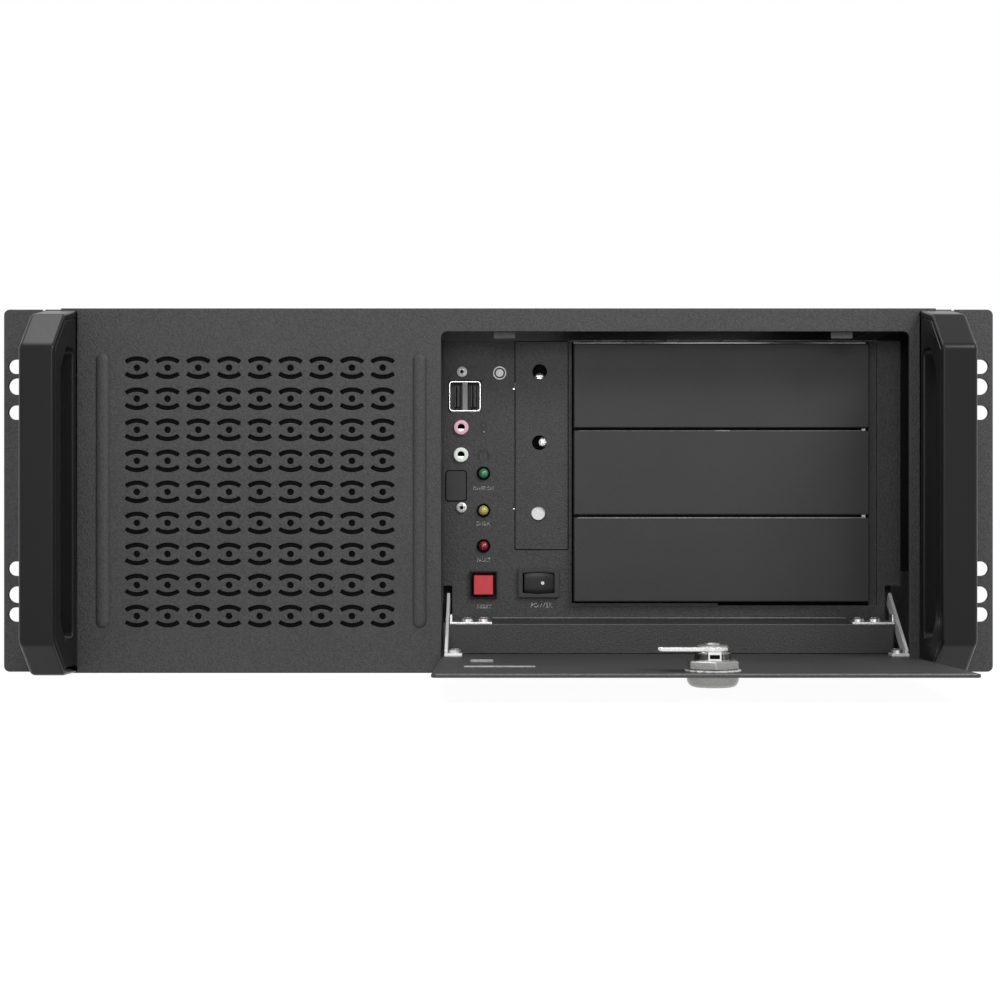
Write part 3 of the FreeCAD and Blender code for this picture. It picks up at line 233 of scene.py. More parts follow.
FINISHES = {finish.name: finish for finish in (
    Finish("black_powder_coat", (0.044, 0.044, 0.045), 0.5, grain=Grain.ORANGE_PEEL,
           grain_size=0.8 * MM, relief=1.0, mottle=0.30, speckle=0.85, specular=0.36),
    Finish("zinc_plate", (0.70, 0.70, 0.71), 0.27, 0.95, Grain.BRUSHED, 0.5 * MM, 0.15, 0.06),
    Finish("handle_black", (0.010, 0.010, 0.0105), 0.3, grain=Grain.ORANGE_PEEL,
           grain_size=1.5 * MM, relief=0.07, mottle=0.06, specular=0.18),
    Finish("cover_plastic", (0.036, 0.036, 0.037), 0.55, grain=Grain.SPARKED,
           grain_size=0.5 * MM, relief=0.4, mottle=0.14, speckle=0.8, specular=0.32),
    Finish("bright_nickel", (0.72, 0.71, 0.69), 0.2, 1.0, Grain.BRUSHED, 0.8 * MM, 0.08, 0.05),
    Finish("port_insert", (0.26, 0.26, 0.26), 0.45, grain=Grain.SPARKED, grain_size=0.4 * MM, relief=0.2, mottle=0.15),
    Finish("dark_nickel", (0.27, 0.27, 0.265), 0.22, 0.9, Grain.BRUSHED, 0.7 * MM, 0.12, 0.16),
    Finish("pale_zinc", (0.80, 0.80, 0.80), 0.36, 0.3, Grain.BRUSHED, 0.5 * MM, 0.12, 0.06),
    Finish("pale_nickel", (0.38, 0.38, 0.37), 0.28, 0.6, Grain.BRUSHED, 0.6 * MM, 0.15, 0.18, 0.7),
    # painted highlight: a pale grey for the door lips and the lower bay covers' upper edges
    Finish("painted_highlight_pale", (0.34, 0.34, 0.34), 0.4, mottle=0.35, speckle=0.9, specular=0.4),
    # painted highlight: the paler copy along the letters' lower edges
    Finish("painted_letter_highlight", (0.50, 0.50, 0.50), 0.5, mottle=0.55, speckle=0.95, specular=0.2),
    # painted highlight: a grey for thin lines on folds and edges
    Finish("painted_highlight_dim", (0.15, 0.15, 0.15), 0.35, mottle=0.3, speckle=0.9, specular=0.4),
    Finish("jack_pink", (0.86, 0.50, 0.62), 0.35),
    Finish("jack_mint", (0.86, 0.98, 0.84), 0.35),
    Finish("lens_green", (0.06, 0.22, 0.11), 0.15, coat=0.5),
    Finish("lens_yellow", (0.50, 0.45, 0.12), 0.15, coat=0.5),
    Finish("lens_red", (0.27, 0.010, 0.022), 0.15, coat=0.5),
    Finish("switch_black", (0.0075, 0.0075, 0.008), 0.34, grain=Grain.SPARKED,
           grain_size=0.5 * MM, relief=0.08, specular=0.3),
    Finish("button_red", (0.62, 0.055, 0.065), 0.4, grain=Grain.SPARKED, grain_size=0.6 * MM, relief=0.1, specular=0.3),
    Finish("filter_foam", (0.016, 0.016, 0.016), 0.95, grain=Grain.FOAM, grain_size=1.2 * MM, relief=1.0, specular=0.1),
    # white: the print's own colour, and a painted highlight on the access button
    Finish("white_print_and_painted_highlight", (0.88, 0.88, 0.88), 0.6, mottle=0.12, speckle=0.9, specular=0.2),
    # near-black: the own colour of the lamp rings, switch well and plate seams, and painted shade in recesses, bores
    # and gaps
    Finish("black_and_painted_shade", (0.004, 0.004, 0.004), 0.7, specular=0.05),
)}


class Paintbox:
    """Builds each finish once and hands it out by its slot name."""

    def __init__(self) -> None:
        """Starts with no material built."""
        self.made: dict[str, bpy.types.Material] = {}

    def get(self, name: str) -> bpy.types.Material:
        """Gives the material of a finish, made on first use.

        Args:
            name: the finish's name.

        Returns:
            Its material.
        """
        if name not in self.made:
            self.made[name] = FINISHES[name].build()
        return self.made[name]


# ------------------------------------------------------------------ stage
@dataclass(frozen=True)
class Lamp:
    """A rectangular soft lamp, in metres and watts, that points at a place."""

    name: str
    place: Triple
    size: Point
    power: float
    aim: Triple = (0.0, 0.0, 0.0)

    def build(self) -> None:
        """Hangs the lamp."""
        data = bpy.data.lights.new(self.name, "AREA")
        data.shape = "RECTANGLE"
        data.size, data.size_y = self.size
        data.energy = self.power
        lamp = bpy.data.objects.new(self.name, data)
        lamp.location = self.place
        lamp.rotation_euler = (Vector(self.aim) - Vector(self.place)).to_track_quat("-Z", "Y").to_euler()
        bpy.context.scene.collection.objects.link(lamp)


@dataclass
class Studio:
    """Pale floor, soft lights and the camera in front of the case, in metres."""

    camera_distance: float = 0.800
    picture_width: float = 0.489
    sensor: float = 36.0
    camera_x: float = 3.2 * MM
    camera_z: float = -3.1 * MM
    shift_x: float = -0.005
    shift_y: float = -0.003
    floor_half: float = 6.0
    floor_grey: float = 0.8
    shadow_grey: float = 0.08
    paper_strength: float = 0.965
    soft_strength: float = 0.37
    lamps: tuple[Lamp, ...] = (
        Lamp("overhead_left", (-0.30, 0.0, 0.95), (0.8, 0.5), 4.5),
        Lamp("front_high", (0.95, -1.1, 1.2), (0.7, 0.5), 17.0, (-0.05, 0.0, 0.0)),
        Lamp("front_middle", (-0.05, -1.25, 0.30), (0.5, 0.35), 3.4),
    )

    def build(self) -> None:
        """Sets up the view, the floor, the world and the lamps."""
        bpy.context.scene.view_settings.view_transform = "Standard"
        self._camera()
        self._floor()
        self._world()
        for lamp in self.lamps:
            lamp.build()

    def _camera(self) -> None:
        """Places the camera square to the front panel."""
        data = bpy.data.cameras.new("camera")
        data.sensor_width = self.sensor
        data.lens = self.sensor * self.camera_distance / self.picture_width
        data.shift_x, data.shift_y = self.shift_x, self.shift_y
        camera = bpy.data.objects.new("camera", data)
        camera.location = (self.camera_x, -self.camera_distance, self.camera_z)
        camera.rotation_euler = (math.radians(90), 0, 0)
        bpy.context.scene.collection.objects.link(camera)
        bpy.context.scene.camera = camera

    def _floor(self) -> None:
        """Lays a wide floor that the camera sees as white, with its shadow."""
        half, low = self.floor_half, CAD_BOX[0][2]
        mesh = bpy.data.meshes.new("floor")
        mesh.from_pydata([(x, z, low) for x, z in rectangle((-half, -half), (half, half))], [], [(0, 1, 2, 3)])
        floor = bpy.data.objects.new("floor", mesh)
        bpy.context.scene.collection.objects.link(floor)
        bench = NodeBench("floor_paint")
        paint = bench.add("ShaderNodeBsdfDiffuse")
        paint.inputs["Color"].default_value = (*[self.floor_grey] * 3, 1)
        thin = bench.add("ShaderNodeBsdfDiffuse")
        thin.inputs["Color"].default_value = (*[self.shadow_grey] * 3, 1)
        paper = bench.add("ShaderNodeEmission", Strength=self.paper_strength)
        paper.inputs["Color"].default_value = (1, 1, 1, 1)
        both, mix = bench.add("ShaderNodeAddShader"), bench.add("ShaderNodeMixShader")
        bench.link(thin.outputs["BSDF"], both.inputs[0])
        bench.link(paper.outputs["Emission"], both.inputs[1])
        bench.link(self._seen(bench.tree), mix.inputs["Fac"])
        bench.link(paint.outputs["BSDF"], mix.inputs[1])
        bench.link(both.outputs["Shader"], mix.inputs[2])
        bench.link(mix.outputs["Shader"], bench.output.inputs["Surface"])
        mesh.materials.append(bench.material)

    def _world(self) -> None:
        """Gives a dim even light and a white background to the camera and to gloss."""
        world = bpy.data.worlds.new("studio")
        world.use_nodes = True
        bpy.context.scene.world = world
        tree = world.node_tree
        tree.nodes.clear()
        out = tree.nodes.new("ShaderNodeOutputWorld")
        soft = tree.nodes.new("ShaderNodeBackground")
        soft.inputs["Strength"].default_value = self.soft_strength
        white = tree.nodes.new("ShaderNodeBackground")
        white.inputs["Color"].default_value = (1, 1, 1, 1)
        white.inputs["Strength"].default_value = 1.0
        mix = tree.nodes.new("ShaderNodeMixShader")
        tree.links.new(self._seen(tree), mix.inputs["Fac"])
        tree.links.new(soft.outputs["Background"], mix.inputs[1])
        tree.links.new(white.outputs["Background"], mix.inputs[2])
        tree.links.new(mix.outputs["Shader"], out.inputs["Surface"])

    @staticmethod
    def _seen(tree: bpy.types.NodeTree) -> bpy.types.NodeSocket:
        """Gives 1 for the rays that see a thing directly, in gloss or through glass.

        Args:
            tree: the node tree that asks.

        Returns:
            The socket with the answer.
        """
        path = tree.nodes.new("ShaderNodeLightPath")
        total = path.outputs["Is Camera Ray"]
        for label in ("Is Glossy Ray", "Is Transmission Ray"):
            most = tree.nodes.new("ShaderNodeMath")
            most.operation = "MAXIMUM"
            tree.links.new(total, most.inputs[0])
            tree.links.new(path.outputs[label], most.inputs[1])
            total = most.outputs["Value"]
        return total


# ------------------------------------------------------------------ plane outlines, in millimetres
def polar(cx: float, cy: float, radius: float, degrees: float) -> Point:
    """Gives the point at an angle round a centre."""
    turn = math.radians(degrees)
    return cx + radius * math.cos(turn), cy + radius * math.sin(turn)


def arc(cx: float, cy: float, radius: float, start: float, end: float, steps: int) -> Loop:
    """Samples an arc.

    Args:
        cx: the centre's first coordinate.
        cy: the centre's second coordinate.
        radius: the arc's radius.
        start: the first angle in degrees.
        end: the last angle in degrees.
        steps: how many chords stand for it.

    Returns:
        The points from the first angle to the last, both included.
    """
    return [polar(cx, cy, radius, start + (end - start) * k / steps) for k in range(steps + 1)]


def circle(cx: float, cy: float, radius: float, steps: int = 24) -> Loop:
    """Gives a closed circle of the stated number of chords."""
    return arc(cx, cy, radius, 0.0, 360.0, steps)[:-1]


def rectangle(low: Point, high: Point) -> Loop:
    """Gives a plain rectangle between two corners."""
    return [low, (high[0], low[1]), high, (low[0], high[1])]


def rounded(points: Loop, radii: list[float], steps: int = 6) -> Loop:
    """Rounds the corners of a polygon.

    Args:
        points: the corners, in order.
        radii: one radius for each corner, 0 for a sharp one.
        steps: chords in each rounded corner.

    Returns:
        The outline with its round corners.
    """
    outline: Loop = []
    count = len(points)
    for k, radius in enumerate(radii):
        corner = Vector(points[k])
        before = (Vector(points[k - 1]) - corner).normalized()
        after = (Vector(points[(k + 1) % count]) - corner).normalized()
        if radius <= 0:
            outline.append(tuple(corner))
            continue
        half = before.angle(after) / 2
        centre = corner + (before + after).normalized() * (radius / math.sin(half))
        reach = radius / math.tan(half)
        first, last = corner + before * reach - centre, corner + after * reach - centre
        sweep = first.angle_signed(last)
        for step in range(steps + 1):
            turn = Matrix.Rotation(-sweep * step / steps, 2)
            outline.append(tuple(centre + turn @ first))
    return outline


def rounded_rectangle(low: Point, high: Point, radius: float, steps: int = 6) -> Loop:
    """Gives a rectangle with four equal round corners."""
    return rounded(rectangle(low, high), [radius] * 4, steps)


def stadium(cx: float, cy: float, width: float, height: float, steps: int = 8) -> Loop:
    """Gives a round-ended slot about a centre, along its longer side.

    Args:
        cx: the centre's first coordinate.
        cy: the centre's second coordinate.
        width: its size along the first axis.
        height: its size along the second axis.
        steps: chords in each quarter of an end.

    Returns:
        The slot's outline, with a hair of straight edge left at each end.
    """
    straight = 0.01
    low, high = (cx - width / 2, cy - height / 2), (cx + width / 2, cy + height / 2)
    return rounded_rectangle(low, high, min(width, height) / 2 - straight, steps)


def area_of(loop: Loop) -> float:
    """Gives the signed area, positive for a loop that runs anticlockwise."""
    return sum(a[0] * b[1] - b[0] * a[1] for a, b in zip(loop, loop[1:] + loop[:1])) / 2


def inset_loop(loop: Loop, inset: float) -> Loop:
    """Moves every side of an anticlockwise loop inwards.

    Args:
        loop: the closed loop.
        inset: how far each side moves in, or out where it is negative.

    Returns:
        A loop with as many points.
    """
    if abs(inset) < SMALLEST:
        return list(loop)
    least_share, moved = 0.3, []
    for k, point in enumerate(loop):
        here = Vector(point)
        along = (here - Vector(loop[k - 1])).normalized()
        onward = (Vector(loop[(k + 1) % len(loop)]) - here).normalized()
        normal = Vector((-along.y - onward.y, along.x + onward.x))
        share = max(least_share, normal.length / 2)
        moved.append(tuple(here + normal.normalized() * (inset / share)))
    return moved


# ------------------------------------------------------------------ sheet-metal forms
def join_rings(mesh: bmesh.types.BMesh, rings: list[list[bmesh.types.BMVert]]) -> None:
    """Joins each ring of vertices to the next with quads.

    Args:
        mesh: the mesh that receives the quads.
        rings: rings of as many vertices each, in order along the surface.
    """
    for first, second in zip(rings, rings[1:]):
        for k in range(len(first)):
            mesh.faces.new((first[k - 1], first[k], second[k], second[k - 1]))


class Axis(Enum):
    """The axis that a sheet's thickness lies along."""

    X = "x"
    Y = "y"
    Z = "z"

    def place(self, u: float, v: float, w: float) -> Vector:
        """Puts a point of the sheet's plane and depth into space."""
        return {Axis.X: Vector((w, u, v)), Axis.Y: Vector((u, w, v)), Axis.Z: Vector((u, v, w))}[self]


class Wall(Enum):
    """What a contour does to its sheet."""

    ROUND = "a wall with rounded rims"
    OPEN = "a bare edge that another mesh continues"
    PRESSED = "a swelling pressed out of the sheet"


@dataclass(frozen=True)
class Contour:
    """One closed edge of a sheet, with its rims or its pressed profile."""

    points: Loop
    rim: float = 0.3
    far_rim: float = 0.0
    steps: int = 3
    wall: Wall = Wall.ROUND
    border: tuple[Point, ...] = ()

    def rounding(self, radius: float) -> list[Point]:
        """Samples a rim's quarter circle.

        Args:
            radius: the rim's radius, 0 for a sharp edge.

        Returns:
            Insets and depths, from the face to the wall.
        """
        if radius <= 0:
            return [(0.0, 0.0)]
        turns = [math.pi / 2 * k / self.steps for k in range(self.steps + 1)]
        return [(radius * (1 - math.sin(t)), radius * (1 - math.cos(t))) for t in turns]


@dataclass
class SheetForm:
    """A flat plate with holes, rounded rims and pressed swellings."""

    outline: Contour
    near: float
    far: float
    holes: list[Contour] = field(default_factory=list)
    axis: Axis = Axis.Y

    def add_to(self, mesh: bmesh.types.BMesh) -> None:
        """Adds the plate's faces to a mesh in millimetres.

        Args:
            mesh: the mesh that receives them.
        """
        near_rings, far_rings = [], []
        for contour, inward in [(self.outline, 1.0)] + [(hole, -1.0) for hole in self.holes]:
            rings = self._rings(mesh, contour, inward)
            near_rings.append(rings[0])
            far_rings.append(rings[-1])
        self._cap(mesh, near_rings)
        self._cap(mesh, far_rings)

    def _ring(self, mesh: bmesh.types.BMesh, points: Loop, depth: float) -> list[bmesh.types.BMVert]:
        """Adds the vertices of one loop at one depth."""
        return [mesh.verts.new(self.axis.place(u, v, depth)) for u, v in points]

    def _rings(self, mesh: bmesh.types.BMesh, contour: Contour, inward: float) -> list[list[bmesh.types.BMVert]]:
        """Adds a contour's wall, from the near face to the far one.

        Args:
            mesh: the mesh that receives it.
            contour: the edge.
            inward: 1 for the plate's outline and -1 for a hole.

        Returns:
            The rings of vertices that the wall passes through.
        """
        points = contour.points if area_of(contour.points) > 0 else contour.points[::-1]
        way = 1.0 if self.far > self.near else -1.0
        if contour.wall is Wall.OPEN:
            return [self._ring(mesh, points, self.near), self._ring(mesh, points, self.far)]
        if contour.wall is Wall.PRESSED:
            for base in (self.near, self.far):
                rings = [self._ring(mesh, inset_loop(points, inset), base - way * rise)
                         for inset, rise in contour.border]
                join_rings(mesh, rings)
                mesh.faces.new(rings[-1])
            return [self._ring(mesh, points, self.near), self._ring(mesh, points, self.far)]
        near = [*contour.border, *contour.rounding(contour.rim)]
        far = [*contour.border, *contour.rounding(contour.far_rim)] if contour.far_rim else [(0.0, 0.0)]
        stations = [(inset, self.near + way * depth) for inset, depth in near]
        stations += [(inset, self.far - way * depth) for inset, depth in reversed(far)]
        rings = [self._ring(mesh, inset_loop(points, inward * inset), depth) for inset, depth in stations]
        join_rings(mesh, rings)
        return rings

    def _cap(self, mesh: bmesh.types.BMesh, rings: list[list[bmesh.types.BMVert]]) -> None:
        """Fills a face of the plate between its outline and its holes.

        Args:
            mesh: the mesh that receives it.
            rings: the outline's vertices and then each hole's.
        """
        pick = {Axis.X: (1, 2), Axis.Y: (0, 2), Axis.Z: (0, 1)}[self.axis]
        flat = [[Vector((v.co[pick[0]], v.co[pick[1]], 0.0)) for v in ring] for ring in rings]
        verts = [v for ring in rings for v in ring]
        for triangle in geometry.tessellate_polygon(flat):
            corners = [verts[k] for k in triangle]
            if len(set(corners)) == 3:
                mesh.faces.new(corners)


def stacked(mesh: bmesh.types.BMesh, loop: Loop, stations: Stations, axis: Axis = Axis.Y,
            tube: bool = False) -> None:
    """Adds a closed form of one outline that is inset and moved from station to station.

    Args:
        mesh: the mesh that receives it.
        loop: the outline, convex.
        stations: insets and depths, in order along the surface.
        axis: the axis of the depths.
        tube: whether the last station joins the first, as in a ring, where otherwise both ends are closed.
    """
    points = loop if area_of(loop) > 0 else loop[::-1]
    rings = [[mesh.verts.new(axis.place(u, v, depth)) for u, v in inset_loop(points, inset)]
             for inset, depth in stations]
    join_rings(mesh, rings + (rings[:1] if tube else []))
    for ring in () if tube else (rings[0], rings[-1]):
        mesh.faces.new(ring)


def moved(profile: Stations, depth: float) -> list[Point]:
    """Gives a profile's stations with their depths counted from a given depth."""
    return [(inset, depth + rise) for inset, rise in profile]


# ------------------------------------------------------------------ pieces
SLOTS = {part["node"]: part["material_slot"] for part in frame["record"]["subparts"]}
# nodes whose finish is not the one their slot is named for
LOOKS = {"hinge_arm_left": "pale_zinc", "hinge_arm_right": "pale_zinc"}


@dataclass
class Workshop:
    """Turns meshes into finished pieces that ride on their bodies."""

    paint: Paintbox
    smooth_angle: float = 38.0
    flat_angle: float = 0.5
    edge_angle: float = 35.0
    edge_segments: int = 2
    merge: float = 0.002
    nodes: dict[str, bpy.types.Object] = field(default_factory=lambda: frame["nodes"])

    def piece(self, name: str, mesh: bmesh.types.BMesh, finish: str, body: str,
              replaced: tuple[str, ...] = (), place: Matrix | None = None, slot: str = "") -> bpy.types.Object:
        """Makes one piece of a mesh in millimetres.

        Args:
            name: the piece's name.
            mesh: its mesh, which is used up.
            finish: the name of its finish and material slot.
            body: the body it rides on.
            replaced: the CAD nodes that it stands for.
            place: a last move, in millimetres.
            slot: its material slot, where the finish has another name.

        Returns:
            The piece.
        """
        bmesh.ops.remove_doubles(mesh, verts=mesh.verts, dist=self.merge)
        bmesh.ops.recalc_face_normals(mesh, faces=mesh.faces)
        if place is not None:
            mesh.transform(place)
        mesh.transform(Matrix.Scale(MM, 4))
        data = bpy.data.meshes.new(name)
        mesh.to_mesh(data)
        mesh.free()
        return self.settle(name, data, finish, body, replaced, slot)

    def settle(self, name: str, data: bpy.types.Mesh, finish: str, body: str,
               replaced: tuple[str, ...] = (), slot: str = "") -> bpy.types.Object:
        """Shades a finished mesh, gives it its finish and seats it on its body.

        Args:
            name: the piece's name.
            data: its finished mesh, in metres.
            finish: the name of its finish and material slot.
            body: the body it rides on.
            replaced: the CAD nodes that it stands for.
            slot: not used.

        Returns:
            The piece.
        """
        data.materials.clear()
        data.materials.append(self.paint.get(finish))
        data.shade_smooth()
        data.set_sharp_from_angle(angle=math.radians(self.smooth_angle))
        item = bpy.data.objects.new(name, data)
        bpy.context.scene.collection.objects.link(item)
        even = item.modifiers.new("even_normals", "WEIGHTED_NORMAL")
        even.keep_sharp = True
        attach(item, body)
        slot or finish
        if replaced:
            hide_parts(*replaced)
        LOG.info("made %s, %d faces, on %s", name, len(data.polygons), body)
        return item

    def eased(self, node: str, width: float, body: str) -> bpy.types.Object:
        """Makes a copy of a CAD node whose sharp edges are eased.

        Args:
            node: the CAD node.
            width: how wide each eased edge is, in millimetres.
            body: the body it rides on.

        Returns:
            The copy, which replaces the node.
        """
        mesh = self.merged(node)
        bmesh.ops.dissolve_limit(mesh, angle_limit=math.radians(self.flat_angle), verts=mesh.verts, edges=mesh.edges,
                                 use_dissolve_boundaries=False)
        passing = loose_object(f"{node}_passing", mesh)
        bevel = passing.modifiers.new("eased", "BEVEL")
        bevel.width, bevel.segments = width * MM, self.edge_segments
        bevel.limit_method, bevel.angle_limit = "ANGLE", math.radians(self.edge_angle)
        bevel.use_clamp_overlap = False
        graph = bpy.context.evaluated_depsgraph_get()
        finished = bpy.data.meshes.new_from_object(passing.evaluated_get(graph), depsgraph=graph)
        bpy.data.objects.remove(passing)
        slot = SLOTS[node]
        return self.settle(f"{node}_dressed", finished, LOOKS.get(node, slot), body, (node,), slot)

    def merged(self, node: str) -> bmesh.types.BMesh:
        """Copies a CAD node's mesh and lets its triangles share their corners.

        Args:
            node: the CAD node.

        Returns:
            The copy, in metres.
        """
        mesh = bmesh.new()
        mesh.from_mesh(self.nodes[node].data)
        bmesh.ops.remove_doubles(mesh, verts=mesh.verts, dist=self.merge * MM)
        return mesh


def corners_of(node: str) -> tuple[Vector, Vector]:
    """Gives a CAD node's lowest and highest corners at rest, in millimetres."""
    low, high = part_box(node)
    return Vector(low) / MM, Vector(high) / MM


# ------------------------------------------------------------------ geometry node trees
class TreeBench:
    """A node tree in the making, which plants an object on points and gives real faces with a finish."""

    def __init__(self, name: str, inputs: dict[str, str]) -> None:
        """Starts a tree with named inputs and one output of geometry.

        Args:
            name: the tree's name.
            inputs: the kind of socket of each input, by its label.
        """
        self.tree = bpy.data.node_groups.new(name, "GeometryNodeTree")
        for label, kind in inputs.items():
            self.tree.interface.new_socket(label, in_out="INPUT", socket_type=f"NodeSocket{kind}")
        self.tree.interface.new_socket("Geometry", in_out="OUTPUT", socket_type="NodeSocketGeometry")
        self.given, self.out = self.make("NodeGroupInput"), self.make("NodeGroupOutput")

    def make(self, kind: str) -> bpy.types.Node:
        """Adds a node."""
        return self.tree.nodes.new(kind)

    def wire(self, *links: tuple[bpy.types.Node, str, bpy.types.Node, str]) -> None:
        """Joins outputs to inputs, each named by its node and label."""
        for start, output, end, entry in links:
            self.tree.links.new(start.outputs[output], end.inputs[entry])

    def plant(self, part: str, points: bpy.types.Node, output: str) -> bpy.types.Node:
        """Sets copies of an object on points, makes them real and gives them the finish.

        Args:
            part: the label of the input that holds the object.
            points: the node that gives the points.
            output: the label of its output.

        Returns:
            The node that sets the copies, for their turn and size.
        """
        source, copies = self.make("GeometryNodeObjectInfo"), self.make("GeometryNodeInstanceOnPoints")
        real, coat = self.make("GeometryNodeRealizeInstances"), self.make("GeometryNodeSetMaterial")
        self.wire((self.given, part, source, "Object"), (points, output, copies, "Points"),
                  (source, "Geometry", copies, "Instance"), (copies, "Instances", real, "Geometry"),
                  (real, "Geometry", coat, "Geometry"), (self.given, "Finish", coat, "Material"),
                  (coat, "Geometry", self.out, "Geometry"))
        return copies


def field_tree() -> bpy.types.NodeTree:
    """Makes the tree that sets one tile on every point of an upright grid.

    Returns:
        The tree, whose inputs are the tile, the counts, the grid's size, its centre and the finish.
    """
    bench = TreeBench("tile_field", {"Tile": "Object", "Columns": "Int", "Rows": "Int", "Width": "Float",
                                     "Height": "Float", "Centre": "Vector", "Finish": "Material"})
    grid, turn = bench.make("GeometryNodeMeshGrid"), bench.make("GeometryNodeTransform")
    turn.inputs["Rotation"].default_value = (math.radians(90), 0, 0)
    bench.wire((bench.given, "Columns", grid, "Vertices X"), (bench.given, "Rows", grid, "Vertices Y"),
               (bench.given, "Width", grid, "Size X"), (bench.given, "Height", grid, "Size Y"),
               (grid, "Mesh", turn, "Geometry"), (bench.given, "Centre", turn, "Translation"))
    bench.plant("Tile", turn, "Geometry")
    return bench.tree


def fastener_tree() -> bpy.types.NodeTree:
    """Makes the tree that sets a fastener on every point, turned and sized by the point's attributes.

    Returns:
        The tree, whose inputs are the points, the fastener and its finish.
    """
    bench = TreeBench("fasteners", {"Geometry": "Geometry", "Fastener": "Object", "Finish": "Material"})
    facing, size = (bench.make("GeometryNodeInputNamedAttribute") for _ in range(2))
    facing.data_type, size.data_type = "FLOAT_VECTOR", "FLOAT"
    facing.inputs["Name"].default_value, size.inputs["Name"].default_value = "facing", "size"
    turn = bench.make("FunctionNodeAlignRotationToVector")
    turn.axis = "Z"
    copies = bench.plant("Fastener", bench.given, "Geometry")
    bench.wire((facing, "Attribute", turn, "Vector"), (turn, "Rotation", copies, "Rotation"),
               (size, "Attribute", copies, "Scale"))
    return bench.tree


def loose_object(name: str, mesh: bmesh.types.BMesh | bpy.types.Mesh) -> bpy.types.Object:
    """Makes a passing object of a mesh, for a node tree or a modifier to use.

    Args:
        name: the object's name.
        mesh: its mesh, which is used up where it is a bmesh.

    Returns:
        The object.
    """
    if isinstance(mesh, bmesh.types.BMesh):
        data = bpy.data.meshes.new(name)
        mesh.to_mesh(data)
        mesh.free()
    else:
        data = mesh
    item = bpy.data.objects.new(name, data)
    bpy.context.scene.collection.objects.link(item)
    return item


def grown(carrier: bpy.types.Object, tree: bpy.types.NodeTree, values: dict[str, object]) -> bpy.types.Mesh:
    """Runs a node tree on a passing object and gives its result as a plain mesh.

    Args:
        carrier: the object that carries the tree, removed afterwards.
        tree: the node tree.
        values: the tree's inputs by their labels.

    Returns:
        The plain mesh.
    """
    modifier = carrier.modifiers.new("tree", "NODES")
    modifier.node_group = tree
    for item in tree.interface.items_tree:
        if item.item_type == "SOCKET" and item.in_out == "INPUT" and item.name in values:
            modifier[item.identifier] = values[item.name]
    graph = bpy.context.evaluated_depsgraph_get()
    data = bpy.data.meshes.new_from_object(carrier.evaluated_get(graph), depsgraph=graph)
    passing = [carrier, *[v for v in values.values() if isinstance(v, bpy.types.Object)]]
    for item in passing:
        bpy.data.objects.remove(item)
    return data


# ------------------------------------------------------------------ front panel
@dataclass
class VentField:
    """The grid of eye-shaped vents: two curved slots round a small hole, in every tile."""

    columns: int = 9
    rows: int = 9
    pitch_x: float = 15.0
    pitch_z: float = 15.15
    centre: Point = (-116.5, -0.65)
    arc_radius: float = 9.7
    arc_rise: float = 4.5
    slot_width: float = 2.05
    slot_span: float = 66.0
    slot_nose: float = 0.3
    hole_radius: float = 1.6
    rim: float = 0.34
    rim_steps: int = 2
    slot_steps: int = 8
    hole_steps: int = 14

    def border(self) -> Loop:
        """Gives the field's outline, with a point at every tile's corner.

        Returns:
            The outline, anticlockwise from its lower left corner.
        """
        wide, tall = self.columns * self.pitch_x, self.rows * self.pitch_z
        left, low = self.centre[0] - wide / 2, self.centre[1] - tall / 2
        bottom = [(left + k * self.pitch_x, low) for k in range(self.columns)]
        right = [(left + wide, low + k * self.pitch_z) for k in range(self.rows)]
        top = [(left + wide - k * self.pitch_x, low + tall) for k in range(self.columns)]
        side = [(left, low + tall - k * self.pitch_z) for k in range(self.rows)]
        return bottom + right + top + side

    def _lid(self, way: float) -> Loop:
        """Gives one curved slot of an eye.

        Args:
            way: 1 for the slot above the eye's middle and -1 for the one below.

        Returns:
            The slot's outline, pointed a little at its ends.
        """
        half = self.slot_span / 2
        middle = self.arc_rise - self.arc_radius
        wide, thin = self.arc_radius + self.slot_width / 2, self.arc_radius - self.slot_width / 2
        nose = math.degrees(self.slot_nose / self.arc_radius)
        points = [*arc(0, middle, wide, 90 - half, 90 + half, self.slot_steps),
                  polar(0, middle, self.arc_radius, 90 + half + nose),
                  *arc(0, middle, thin, 90 + half, 90 - half, self.slot_steps),
                  polar(0, middle, self.arc_radius, 90 - half - nose)]
        return [(x, way * z) for x, z in points]

    def tile(self, near: float, far: float) -> bmesh.types.BMesh:
        """Makes one tile about the origin.

        Args:
            near: the depth of the sheet's face.
            far: the depth of its back.

        Returns:
            The tile, open at its border.
        """
        half_x, half_z = self.pitch_x / 2, self.pitch_z / 2
        openings = [self._lid(1.0), self._lid(-1.0), circle(0, 0, self.hole_radius, self.hole_steps)]
        holes = [Contour(loop, rim=self.rim, steps=self.rim_steps) for loop in openings]
        outline = Contour(rectangle((-half_x, -half_z), (half_x, half_z)), wall=Wall.OPEN)
        mesh = bmesh.new()
        SheetForm(outline, near, far, holes).add_to(mesh)
        return mesh

    def grow(self, near: float, far: float, finish: bpy.types.Material) -> bpy.types.Mesh:
        """Runs the tile field.

        Args:
            near: the depth of the sheet's face.
            far: the depth of its back.
            finish: the sheet's material.

        Returns:
            The whole field as a plain mesh, in millimetres.
        """
        carrier = loose_object("vent_carrier", bmesh.new())
        values = {"Tile": loose_object("vent_tile", self.tile(near, far)), "Columns": self.columns,
                  "Rows": self.rows, "Width": (self.columns - 1) * self.pitch_x,
                  "Height": (self.rows - 1) * self.pitch_z,
                  "Centre": (self.centre[0], 0.0, self.centre[1]), "Finish": finish}
        return grown(carrier, field_tree(), values)


